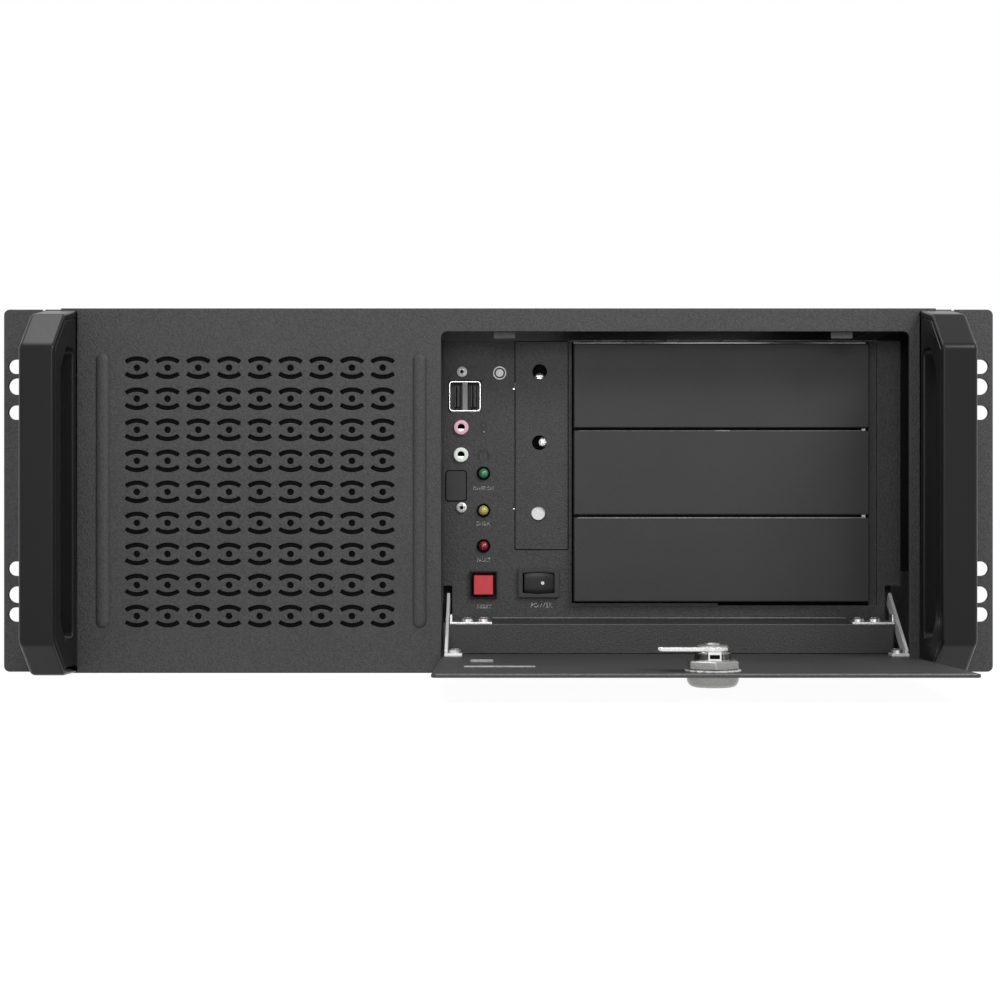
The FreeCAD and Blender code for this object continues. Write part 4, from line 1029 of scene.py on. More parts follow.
@dataclass
class FrontPanel:
    """The folded rack panel with its ears, vents, ribs and door opening."""

    shop: Workshop
    vents: VentField
    sheet: float = 2.0
    ear_corner: float = 2.8
    ear_step: float = 0.6
    fold_corner: float = 0.3
    step_corner: float = 0.2
    half_middle: float = 213.5
    notch_from_middle: float = 8.4
    # width and depth of the relief notch beside each fold
    notch_size: Point = (1.6, 0.5)
    rack_slot_x: float = 232.55
    rack_slot_length: float = 13.0
    # spacing between a pair of slots and their height
    rack_slots: tuple[Point, ...] = ((76.2, 7.0), (101.6, 8.0), (121.0, 7.0))
    # left, right, bottom and top
    opening: tuple[float, float, float, float] = (-28.0, 200.5, -83.4, 77.6)
    opening_corner: float = 3.0
    rib_places: Point = (-193.0, -38.4)
    rib_size: Point = (6.8, 134.0)
    rib_profile: tuple[Point, ...] = ((0.0, 0.0), (0.12, 0.18), (0.35, 0.55), (0.7, 0.92), (1.15, 1.2), (1.7, 1.41),
                                      (2.3, 1.54), (2.85, 1.59), (3.3994, 1.6))
    flange: float = 12.0
    flange_sheet: float = 1.2
    catch_places: Point = (2.9, 167.9)
    # width, drop below the opening's edge and lap above it
    catch_size: Triple = (10.6, 3.3, 8.0)
    catch_corner: float = 0.6
    # at the face and at the back
    edge_rims: Point = (0.5, 0.2)
    opening_rim: float = 0.4
    slot_rim: float = 0.3
    flange_rim: float = 0.15
    catch_rim: float = 0.2
    low_flange_insets: Point = (3.0, 2.0)

    def build(self) -> None:
        """Makes the panel as one piece."""
        high = corners_of("front_panel")[1]
        mesh = bmesh.new()
        mesh.from_mesh(self.vents.grow(-self.sheet, 0.0, self.shop.paint.get("black_powder_coat")))
        outline = Contour(self._outline(high.x, high.z), rim=self.edge_rims[0], far_rim=self.edge_rims[1])
        holes = [Contour(self.vents.border(), wall=Wall.OPEN), Contour(self._opening(), rim=self.opening_rim)]
        holes += [Contour(loop, rim=self.slot_rim, steps=2) for loop in self._rack_slots()]
        holes += [self._rib(x) for x in self.rib_places]
        SheetForm(outline, -self.sheet, 0.0, holes).add_to(mesh)
        bmesh.ops.remove_doubles(mesh, verts=mesh.verts, dist=self.shop.merge)
        self._flanges(mesh, high.z)
        self.shop.piece("front_panel_dressed", mesh, "black_powder_coat", "chassis", ("front_panel",))

    def _outline(self, half_x: float, half_z: float) -> Loop:
        """Draws the panel's edge: round ear corners, a step at each fold and a relief notch beside it.

        Args:
            half_x: half the panel's width.
            half_z: half its height.

        Returns:
            The closed outline.
        """
        ear = half_z - self.ear_step
        wide, deep = self.notch_size
        notch = self.half_middle + self.notch_from_middle
        top_right = [(self.half_middle, half_z), (self.half_middle, ear), (notch - wide / 2, ear),
                     (notch - wide / 2, ear - deep), (notch + wide / 2, ear - deep), (notch + wide / 2, ear),
                     (half_x, ear)]
        low_right = [(half_x, -ear), (self.half_middle, -ear), (self.half_middle, -half_z)]
        right_side = low_right[::-1] + top_right[::-1]
        radii = [self.fold_corner, self.step_corner, self.ear_corner, self.ear_corner, *[0.0] * 5, self.fold_corner]
        left_side = [(-x, z) for x, z in right_side[::-1]]
        return rounded(right_side + left_side, radii + radii[::-1])

    def _opening(self) -> Loop:
        """Gives the door opening, round at its upper corners."""
        left, right, low, high = self.opening
        return rounded(rectangle((left, low), (right, high)), [0.0, 0.0, self.opening_corner, self.opening_corner])

    def _rack_slots(self) -> list[Loop]:
        """Gives the twelve slots of the ears."""
        return [stadium(side * self.rack_slot_x, end * spacing / 2, self.rack_slot_length, width, 6)
                for side in (-1, 1) for end in (-1, 1) for spacing, width in self.rack_slots]

    def _rib(self, x: float) -> Contour:
        """Gives one pressed rib with steep flanks, a round crown and round ends.

        Args:
            x: the middle of the rib across the panel.

        Returns:
            The rib's edge with its pressed profile.
        """
        (wide, tall), straight = (size / 2 for size in self.rib_size), 0.0005
        loop = rounded_rectangle((x - wide, -tall), (x + wide, tall), wide - straight, 8)
        return Contour(loop, wall=Wall.PRESSED, border=self.rib_profile)

    def _flanges(self, mesh: bmesh.types.BMesh, half_z: float) -> None:
        """Adds the folded flanges behind the panel and the two door stops.

        Args:
            mesh: the panel's mesh.
            half_z: half the panel's height.
        """
        (left, _, _, top_edge), (start, end) = self.opening, self.low_flange_insets
        top = rectangle((-self.half_middle, 0.0), (self.half_middle, self.flange))
        low = rectangle((-self.half_middle + start, 0.0), (left - end, self.flange))
        plates = [(top, half_z - self.flange_sheet, half_z),
                  (low, -half_z + self.flange_sheet, -half_z + 2 * self.flange_sheet)]
        for loop, near, far in plates:
            edge = Contour(loop, rim=self.flange_rim, far_rim=self.flange_rim, steps=2)
            SheetForm(edge, far, near, axis=Axis.Z).add_to(mesh)
        wide, drop, lap = self.catch_size
        for x in self.catch_places:
            low_corner, high_corner = (x - wide / 2, top_edge - drop), (x + wide / 2, top_edge + lap)
            loop = rounded_rectangle(low_corner, high_corner, self.catch_corner, 3)
            edge = Contour(loop, rim=self.catch_rim, far_rim=self.catch_rim, steps=2)
            SheetForm(edge, 0.0, self.flange_sheet).add_to(mesh)


# ------------------------------------------------------------------ handles
@dataclass
class Handle:
    """A cast pull handle: a trapezoid ring with soft edges and a groove round its flanks."""

    shop: Workshop
    name: str
    base: float = -2.0
    middle: float = -2.0
    base_middle: float = -0.3
    base_half: float = 88.2
    stand_off: Point = (24.0, 43.0)
    half_heights: Point = (85.6, 69.0)
    corner: float = 5.0
    base_corner: float = 0.6
    # the grip's gap: its root, its knee and its front
    gap_stand_off: Triple = (7.0, 20.0, 30.0)
    gap_half_heights: Point = (70.0, 59.0)
    gap_corner: float = 4.0
    outer_rim: float = 2.4
    inner_rim: float = 1.2
    gap_rim: float = 1.2
    # insets and depths of the groove round each flank
    groove: tuple[Point, ...] = ((3.7, 0.0), (3.5, 0.3), (2.9, 0.3), (2.7, 0.0))

    def build(self) -> None:
        """Makes the handle in the place of its CAD node."""
        low, high = corners_of(self.name)
        knees = self._mirrored(self.stand_off, self.half_heights)
        outer = [(self.base, self.base_middle + self.base_half), *knees, (self.base, self.base_middle - self.base_half)]
        knee, front = self.gap_half_heights
        inner = self._mirrored(self.gap_stand_off, (knee, knee, front))
        rims = (self.outer_rim, self.inner_rim) if low.x < 0 else (self.inner_rim, self.outer_rim)
        outline = Contour(rounded(outer, [self.base_corner, *[self.corner] * 4, self.base_corner]),
                          rim=rims[0], far_rim=rims[1], steps=5, border=self.groove)
        gap = Contour(rounded(inner, [self.gap_corner] * 6), rim=self.gap_rim, far_rim=self.gap_rim, steps=4)
        mesh = bmesh.new()
        SheetForm(outline, low.x, high.x, [gap], Axis.X).add_to(mesh)
        self.shop.piece(f"{self.name}_dressed", mesh, "handle_black", "chassis", (self.name,))

    def _mirrored(self, stand_offs: tuple[float, ...], half_heights: tuple[float, ...]) -> Loop:
        """Gives the knees of an outline whose lower half mirrors its upper half."""
        half = [(self.base - y, z) for y, z in zip(stand_offs, half_heights)]
        return [(y, self.middle + z) for y, z in half] + [(y, self.middle - z) for y, z in half[::-1]]


# ------------------------------------------------------------------ door
@dataclass
class Door:
    """The drop-down door, drawn shut and swung to its open stop about its hinge."""

    shop: Workshop
    sheet: float = 1.5
    corner: float = 2.4
    low_edge: float = -77.0
    high_edge: float = 77.0
    face: float = -2.0
    lock_up: float = 58.0
    lock_radius: float = 8.05
    # left, right, height on the door and rise of each
    lips: tuple[tuple[float, float, float, float], ...] = ((-15.0, 16.6, 33.0, 0.6), (-12.8, -2.2, -0.5, 1.2))
    lip_width: float = 1.3
    edge_rim: float = 0.35
    hole_rim: float = 0.2
    lip_rim: float = 0.5
    lip_root: float = 0.1

    def swing(self) -> Matrix:
        """Works out how the shut door comes to its place at rest.

        Returns:
            The turn about the hinge, in millimetres.
        """
        joint = next(j for j in frame["joints"] if j["name"] == "door_hinge")
        pivot = Vector(joint["pos_m"]) / MM
        turn = Matrix.Rotation(-math.radians(joint["range_deg"][1]), 4, Vector(joint["axis"]))
        return Matrix.Translation(pivot) @ turn @ Matrix.Translation(-pivot)

    def build(self) -> None:
        """Makes the door plate and its raised lips, whose paler finish is a painted highlight."""
        low, high = corners_of("door")
        lock_low, lock_high = corners_of("lock_nut")
        lock_x = (lock_low.x + lock_high.x) / 2
        outline = rounded_rectangle((low.x, self.low_edge), (high.x, self.high_edge), self.corner)
        mesh = bmesh.new()
        back = self.face + self.sheet
        hole = Contour(circle(lock_x, self.lock_up, self.lock_radius, 40), rim=self.hole_rim, steps=2)
        edge = Contour(outline, rim=self.edge_rim, far_rim=self.edge_rim)
        SheetForm(edge, self.face, back, [hole]).add_to(mesh)
        wide, ridges = self.lip_width, bmesh.new()
        for left, right, up, rise in self.lips:
            loop = stadium((left + right) / 2, up + wide / 2, right - left, wide)
            SheetForm(Contour(loop, rim=self.lip_rim), back + rise, back - self.lip_root).add_to(ridges)
        self.shop.piece("door_dressed", mesh, "black_powder_coat", "door", ("door",), self.swing())
        # the lips' paler finish is a painted highlight where their tops catch the light
        self.shop.piece("door_lips", ridges, "painted_highlight_pale", "door", place=self.swing(), slot="black_powder_coat")


# ------------------------------------------------------------------ fasteners
@dataclass
class Fasteners:
    """Pan-head screws with a cross recess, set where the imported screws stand.

    The head's own sizes are shares of its radius.
    """

    shop: Workshop
    rise: float = 0.60
    dome: Point = (0.86, 2.6)
    recess: float = 0.34
    slot_half: float = 0.15
    slot_reach: float = 0.56
    slot_slopes: Point = (0.05, 0.08)
    rings: tuple[float, ...] = (0.06, 0.11, 0.155, 0.2, 0.26, 0.33, 0.4, 0.46, 0.52, 0.58, 0.66, 0.75, 0.84, 0.91,
                                0.96, 1.0)
    shank: tuple[Point, ...] = ((1.0, -0.12), (0.48, -0.12), (0.48, -1.0))
    steps: int = 48
    socket_radius: float = 0.36
    socket: tuple[Point, ...] = ((0.0, 0.5), (0.0, -0.02), (0.1, -0.05))
    lid_rise: float = 1.1
    lid_radius: float = 3.1
    # from the sides, the front and the rear of the lid
    lid_insets: Triple = (22.0, 16.0, 20.0)

    def _height(self, x: float, z: float) -> float:
        """Gives the head's height over its seat.

        Args:
            x: the first coordinate of a point, on a head of radius one.
            z: its second coordinate.

        Returns:
            The dome's height, less the cross recess.
        """
        scale, power = self.dome
        top = self.rise * math.sqrt(max(0.0, 1 - (scale * math.hypot(x, z)) ** power))
        across, along = sorted((abs(x), abs(z)))
        side_slope, end_slope = self.slot_slopes
        inside = min(1.0, max(0.0, (self.slot_half - across) / side_slope + 0.5))
        inside *= min(1.0, max(0.0, (self.slot_reach - along) / end_slope + 0.5))
        return top - self.recess * inside

    def head(self) -> bmesh.types.BMesh:
        """Makes one screw.

        Returns:
            A screw of head radius one, seated at the origin and facing up.
        """
        mesh = bmesh.new()
        rings = [[mesh.verts.new((x, z, self._height(x, z))) for x, z in circle(0, 0, radius, self.steps)]
                 for radius in self.rings]
        rings += [[mesh.verts.new((x, z, height)) for x, z in circle(0, 0, radius, self.steps)]
                  for radius, height in self.shank]
        for first, second in zip(rings, rings[1:]):
            for k in range(self.steps):
                mesh.faces.new((first[k - 1], second[k - 1], second[k], first[k]))
        mesh.faces.new(rings[0])
        mesh.faces.new(rings[-1])
        return mesh

    def spots(self, node: str, facing: Vector) -> list[tuple[Vector, float]]:
        """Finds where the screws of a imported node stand.

        Args:
            node: the node that holds them.
            facing: the way that their heads face.

        Returns:
            The middle of the top of each head and its radius, in millimetres.
        """
        mesh = self.shop.merged(node)
        left, found = set(mesh.verts), []
        for start in mesh.verts:
            if start not in left:
                continue
            left.remove(start)
            group, queue = [], [start]
            while queue:
                vert = queue.pop()
                group.append(vert.co / MM)
                for edge in vert.link_edges:
                    other = edge.other_vert(vert)
                    if other in left:
                        left.remove(other)
                        queue.append(other)
            top = max(co.dot(facing) for co in group)
            flats = [co - facing * co.dot(facing) for co in group]
            axis = sum(flats, Vector()) / len(flats)
            found.append((axis + facing * top, max((co - axis).length for co in flats)))
        mesh.free()
        return found

    def set_on(self, name: str, points: list[tuple[Vector, float]], facing: Vector, finish: str, body: str,
               replaced: tuple[str, ...] = (), slot: str = "") -> None:
        """Sets one screw at each point with the fastener tree.

        Args:
            name: the piece's name.
            points: the middle of the top of each head and its radius.
            facing: the way that the heads face.
            finish: the name of the finish.
            body: the body they ride on.
            replaced: the CAD nodes that they stand for.
            slot: the material slot, where the finish has another name.
        """
        data = bpy.data.meshes.new("points")
        data.from_pydata([top - facing * (self.rise * size) for top, size in points], [], [])
        data.attributes.new("facing", "FLOAT_VECTOR", "POINT")
        data.attributes.new("size", "FLOAT", "POINT")
        for k, (_, size) in enumerate(points):
            data.attributes["facing"].data[k].vector = facing
            data.attributes["size"].data[k].value = size
        values = {"Fastener": loose_object("screw", self.head()), "Finish": self.shop.paint.get(finish)}
        mesh = bmesh.new()
        mesh.from_mesh(grown(loose_object("screw_points", data), fastener_tree(), values))
        self.shop.piece(name, mesh, finish, body, replaced, slot=slot)

    def build(self, door: Matrix) -> None:
        """Sets the screws of the case and of the door's arms.

        Args:
            door: the turn that takes the shut door to its place at rest.
        """
        front, up = Vector((0, -1, 0)), Vector((0, 0, 1))
        inward = (door.to_3x3() @ Vector((0, 1, 0))).normalized()
        jobs = (("panel_screws", front, "pale_zinc", "chassis"), ("bracket_screws", up, "zinc_plate", "chassis"),
                ("arm_screws", inward, "zinc_plate", "door"))
        for node, facing, finish, body in jobs:
            self.set_on(f"{node}_dressed", self.spots(node, facing), facing, finish, body, (node,), "zinc_plate")
        # near-black discs in the panel screws' recesses: painted shade
        sockets = bmesh.new()
        for top, size in self.spots("panel_screws", front):
            stacked(sockets, circle(top.x, top.z, self.socket_radius * size, 20), moved(self.socket, top.y))
        self.shop.piece("panel_screw_sockets", sockets, "black_and_painted_shade", "chassis", slot="zinc_plate")
        low, high = corners_of("top_cover")
        side, front_inset, rear_inset = self.lid_insets
        lid = [(Vector((x, y, high.z + self.lid_rise)), self.lid_radius)
               for x in (low.x + side, 0.0, high.x - side) for y in (low.y + front_inset, high.y - rear_inset)]
        self.set_on("lid_screws", lid, up, "zinc_plate", "chassis")


# ------------------------------------------------------------------ inner panel's fittings
@dataclass
class Fitting:
    """Something set on the inner panel, whose face lies at one depth."""

    shop: Workshop
    face: float = 30.0

    @staticmethod
    def middle(node: str) -> tuple[float, float, Vector, Vector]:
        """Gives the middle of a node across and up, and its corners, in millimetres."""
        low, high = corners_of(node)
        return (low.x + high.x) / 2, (low.z + high.z) / 2, low, high


@dataclass
class TwinSocket(Fitting):
    """A thin bright shell, dark cells, their tongues and the web between."""

    corner: float = 1.7
    wall: float = 0.5
    depth: float = 9.0
    bed: float = 0.4
    lip: tuple[Point, ...] = ((0.0, 0.15), (0.15, 0.0), (0.4, 0.0), (0.5, 0.12))
    cell_offset: float = 4.15
    # offset and width of each tongue in a cell
    tongues: tuple[Point, ...] = ((-0.9, 1.0), (0.8, 1.4))
    tongue_half: float = 5.6
    tongue: tuple[Point, ...] = ((0.0, 9.1), (0.0, 1.6), (0.15, 1.4))
    web_half: float = 1.35
    web_gap: float = 0.4
    web: tuple[Point, ...] = ((0.0, 9.0), (0.0, -0.1), (0.2, -0.3))

    def build(self) -> None:
        """Makes the shell, the bed with its tongues, and the web."""
        x, z, low, high = self.middle("port_shell")
        shell, bed, web = (bmesh.new() for _ in range(3))
        floor = self.face + self.depth
        outline = rounded_rectangle((low.x, low.z), (high.x, high.z), self.corner)
        stacked(shell, outline, [(0.0, floor), *moved(self.lip, low.y), (self.wall, floor)], tube=True)
        stacked(bed, outline, [(self.wall, floor), (self.wall, floor + self.bed)])
        for side in (-1, 1):
            for offset, wide in self.tongues:
                tongue = x + side * self.cell_offset + offset
                loop = rectangle((tongue - wide / 2, z - self.tongue_half), (tongue + wide / 2, z + self.tongue_half))
                stacked(bed, loop, moved(self.tongue, self.face))
        loop = rectangle((x - self.web_half, low.z + self.web_gap), (x + self.web_half, high.z - self.web_gap))
        stacked(web, loop, moved(self.web, self.face))
        self.shop.piece("port_shell_dressed", shell, "bright_nickel", "chassis", ("port_shell",))
        self.shop.piece("port_bed", bed, "switch_black", "chassis")
        self.shop.piece("port_tongues_dressed", web, "port_insert", "chassis", ("port_tongues",))


@dataclass
class Jacks(Fitting):
    """The two jacks: a round-edged collar, a near-black bore that is painted shade, and the contact in it."""

    finishes: tuple[tuple[str, str], ...] = (("jack_microphone", "jack_pink"), ("jack_headphone", "jack_mint"))
    wall: float = 2.05
    root: float = 0.4
    collar: tuple[Point, ...] = ((0.0, 0.7), (0.2, 0.2), (0.6, 0.0), (1.7, 0.0), (1.95, 0.15), (2.05, 0.5))
    bore: tuple[Point, ...] = ((1.0, 8.0), (0.0, 8.0), (0.0, 2.2), (-0.3, 2.2), (-0.3, 8.3), (1.0, 8.3))
    contact: tuple[Point, ...] = ((0.0, 2.6), (0.0, 1.9))
    contact_inset: float = 2.1
    contact_turns: Point = (205.0, 335.0)

    def build(self) -> None:
        """Makes both jacks."""
        for name, finish in self.finishes:
            x, z, low, high = self.middle(name)
            radius, root = high.x - x, self.face + self.root
            collar, bore, contact = (bmesh.new() for _ in range(3))
            stacked(collar, circle(x, z, radius, 40), [(0.0, root), *moved(self.collar, low.y), (self.wall, root)],
                    tube=True)
            stacked(bore, circle(x, z, radius - self.wall, 28), moved(self.bore, low.y))
            half = arc(x, z, radius - self.contact_inset, *self.contact_turns, 12)
            stacked(contact, half, moved(self.contact, low.y))
            self.shop.piece(f"{name}_dressed", collar, finish, "chassis", (name,))
            # the bore's near-black plug is painted shade
            self.shop.piece(f"{name}_bore", bore, "black_and_painted_shade", "chassis", slot="switch_black")
            self.shop.piece(f"{name}_contact", contact, "bright_nickel", "chassis")


@dataclass
class PanelLamps(Fitting):
    """The three lenses and the dark bezel rings round them."""

    finishes: tuple[tuple[str, str], ...] = (("lamp_power", "lens_green"), ("lamp_disk", "lens_yellow"),
                                             ("lamp_fault", "lens_red"))
    root: float = 2.0
    seat: float = 1.0
    dome_rise: float = 2.2
    dome_turns: tuple[int, ...] = (0, 15, 30, 45, 60, 72, 82)
    bezel_width: float = 0.95
    bezel: tuple[Point, ...] = ((0.0, 0.0), (0.0, -0.8), (0.15, -1.05), (0.45, -1.1), (0.7, -0.8), (0.95, -0.4),
                                (0.95, 0.5))

    def build(self) -> None:
        """Makes each lens and all the rings."""
        rings = bmesh.new()
        for name, finish in self.finishes:
            x, z, _, high = self.middle(name)
            radius, lens = high.x - x, bmesh.new()
            dome = [(radius * (1 - math.cos(turn)), -self.seat - self.dome_rise * math.sin(turn))
                    for turn in map(math.radians, self.dome_turns)]
            stacked(lens, circle(x, z, radius, 32), moved([(0.0, self.root), *dome], self.face))
            self.shop.piece(f"{name}_dressed", lens, finish, "chassis", (name,))
            stacked(rings, circle(x, z, radius + self.bezel_width, 36), moved(self.bezel, self.face), tube=True)
        self.shop.piece("lamp_clips_dressed", rings, "black_and_painted_shade", "chassis", ("lamp_clips",), slot="cover_plastic")


@dataclass
class ResetKey(Fitting):
    """The bevelled housing and the red key in its well."""

    travel_room: float = 2.6
    floor_sheet: float = 0.3
    floor_inset: float = 4.0
    wall: float = 1.65
    bevel: tuple[Point, ...] = ((0.0, 0.25), (0.25, 0.0), (0.45, 0.0), (1.55, 1.0), (1.65, 1.3))
    key_corner: float = 0.35
    key_edge: tuple[Point, ...] = ((0.0, 0.5), (0.1, 0.2), (0.3, 0.0))

    def build(self) -> None:
        """Makes the housing and the key."""
        low, high = corners_of("reset_housing")
        key_low, key_high = corners_of("reset_button")
        housing, key, floor = bmesh.new(), bmesh.new(), key_high.y + self.travel_room
        back = floor + self.floor_sheet
        stacked(housing, rectangle((low.x, low.z), (high.x, high.z)),
                [(self.floor_inset, back), (0.0, back), *moved(self.bevel, low.y), (self.wall, floor),
                 (self.floor_inset, floor)])
        stacked(key, rounded_rectangle((key_low.x, key_low.z), (key_high.x, key_high.z), self.key_corner, 3),
                [(0.0, key_high.y), *moved(self.key_edge, key_low.y)])
        self.shop.piece("reset_housing_dressed", housing, "switch_black", "chassis", ("reset_housing",))
        self.shop.piece("reset_button_dressed", key, "button_red", "reset_button", ("reset_button",))


@dataclass
class PowerRocker(Fitting):
    """The switch's bezel and well, its barrel-shaped key and the white dot on it."""

    bezel_corner: float = 0.8
    bezel_rims: Point = (0.4, 0.35)
    bezel_root: float = 0.2
    # half width, and half height at the ends and at the middle
    hole: Triple = (8.0, 5.0, 5.6)
    hole_corners: Point = (0.5, 16.0)
    well_half: Point = (8.8, 6.2)
    well: tuple[Point, ...] = ((2.0, 7.0), (0.0, 7.0), (0.0, 0.3), (-0.3, 0.3), (-0.3, 7.3), (2.0, 7.3))
    key_half: float = 7.6
    key_end_half: float = 4.7
    key_swell: float = 0.55
    key_sink: float = 0.40
    key_dish: float = 0.9
    key_lift: float = 0.44
    key_round: float = 0.35
    key_depth: float = 5.0
    columns: int = 24
    rows: int = 10
    dot_offset: float = 1.6
    dot_radius: float = 0.85
    dot: tuple[Point, ...] = ((0.0, 0.2), (0.0, -0.04), (0.1, -0.07))

    def build(self) -> None:
        """Makes the bezel, the well, the key and the dot."""
        x, z, low, high = self.middle("power_switch_frame")
        wide, tall, crown = self.hole
        sharp, soft = self.hole_corners
        hole = rounded([(x - wide, z - tall), (x, z - crown), (x + wide, z - tall), (x + wide, z + tall),
                        (x, z + crown), (x - wide, z + tall)], [sharp, soft, sharp] * 2, 5)
        outline = rounded_rectangle((low.x, low.z), (high.x, high.z), self.bezel_corner, 4)
        bezel, well = bmesh.new(), bmesh.new()
        SheetForm(Contour(outline, rim=self.bezel_rims[0]), low.y, self.face + self.bezel_root,
                  [Contour(hole, rim=self.bezel_rims[1])]).add_to(bezel)
        wide, tall = self.well_half
        stacked(well, rectangle((x - wide, z - tall), (x + wide, z + tall)), moved(self.well, self.face))
        self.shop.piece("power_switch_frame_dressed", bezel, "cover_plastic", "chassis", ("power_switch_frame",),
                        slot="switch_black")
        self.shop.piece("power_switch_well", well, "black_and_painted_shade", "chassis", slot="switch_black")
        kx, kz, key_low, _ = self.middle("power_rocker")
        dot, surface = bmesh.new(), low.y + self._dish(self.dot_offset / self.key_half)
        stacked(dot, circle(kx + self.dot_offset, kz, self.dot_radius, 20), moved(self.dot, surface))
        self.shop.piece("power_rocker_dressed", self._key((kx, kz), low.y, key_low.y), "switch_black", "power_rocker",
                        ("power_rocker",))
        self.shop.piece("rocker_dot", dot, "white_print_and_painted_highlight", "power_rocker", slot="port_insert")

    def _dish(self, along: float) -> float:
        """Gives the key's depth behind the bezel, from -1 at its left end to 1 at its right."""
        return self.key_sink + self.key_dish * along * along - self.key_lift * max(0.0, -along)

    def _key(self, centre: Point, bezel: float, front: float) -> bmesh.types.BMesh:
        """Makes the rocking key.

        Args:
            centre: its middle across and up.
            bezel: the depth of the bezel's face.
            front: the least depth that the key may have.

        Returns:
            The key, as a closed form.
        """
        mesh, grid = bmesh.new(), []
        for i in range(self.columns + 1):
            u = -1 + 2 * i / self.columns
            half, depth = self.key_end_half + self.key_swell * (1 - u * u), bezel + self._dish(u)
            across = [-1 + 2 * j / self.rows for j in range(self.rows + 1)]
            grid.append([mesh.verts.new((centre[0] + self.key_half * u,
                                         max(front, depth + self.key_round * abs(v) ** 6), centre[1] + half * v))
                         for v in across])
        for i in range(self.columns):
            for j in range(self.rows):
                mesh.faces.new((grid[i][j], grid[i][j + 1], grid[i + 1][j + 1], grid[i + 1][j]))
        rim = [line[0] for line in grid] + grid[-1][1:] + [line[-1] for line in grid[-2::-1]] + grid[0][-2:0:-1]
        floor = [mesh.verts.new((vert.co.x, self.face + self.key_depth, vert.co.z)) for vert in rim]
        for k in range(len(rim)):
            mesh.faces.new((rim[k - 1], rim[k], floor[k], floor[k - 1]))
        mesh.faces.new(floor)
        return mesh


@dataclass
class AccessHoles(Fitting):
    """The channel behind the access holes, near-black as painted shade, its two studs and the flat button."""

    wall: float = 1.2
    step: float = 0.8
    # inset and thickness
    bed: Point = (1.0, 0.9)
    button_radius: float = 3.55
    button_rise: float = 0.1
    button_root: float = 2.4
    button: tuple[Point, ...] = ((0.0, -0.75), (0.12, -0.9), (3.0, -0.95))

    def build(self) -> None:
        """Makes the channel and what stands in it."""
        low, high = corners_of("access_channel")
        channel, loop = bmesh.new(), rectangle((low.x, low.z), (high.x, high.z))
        inset, thick = self.bed
        stacked(channel, loop, [(0.0, low.y), (0.0, high.y - self.step), (inset, high.y),
                                (self.wall, high.y - self.step), (self.wall, low.y)], tube=True)
        stacked(channel, loop, [(inset, high.y - thick), (inset, high.y)])
        # near-black instead of the powder coat: painted shade inside the channel
        self.shop.piece("access_channel_dressed", channel, "black_and_painted_shade", "chassis", ("access_channel",),
                        slot="black_powder_coat")
        fasteners, front = Fasteners(self.shop), Vector((0, -1, 0))
        *studs, (top, _) = sorted(fasteners.spots("access_studs", front), key=lambda spot: -spot[0].z)
        fasteners.set_on("access_studs_dressed", studs, front, "zinc_plate", "chassis", ("access_studs",))
        flat = bmesh.new()
        stacked(flat, circle(top.x, top.z + self.button_rise, self.button_radius, 40),
                [(0.0, low.y + self.button_root), *moved(self.button, top.y)])
        # plain white: a painted highlight standing for the plated button's bright reflection
        self.shop.piece("access_button", flat, "white_print_and_painted_highlight", "chassis", slot="zinc_plate")


@dataclass(frozen=True)
class Word:
    """A plain word on the inner panel, by its middle and its size."""

    text: str
    x: float
    z: float
    width: float
    height: float


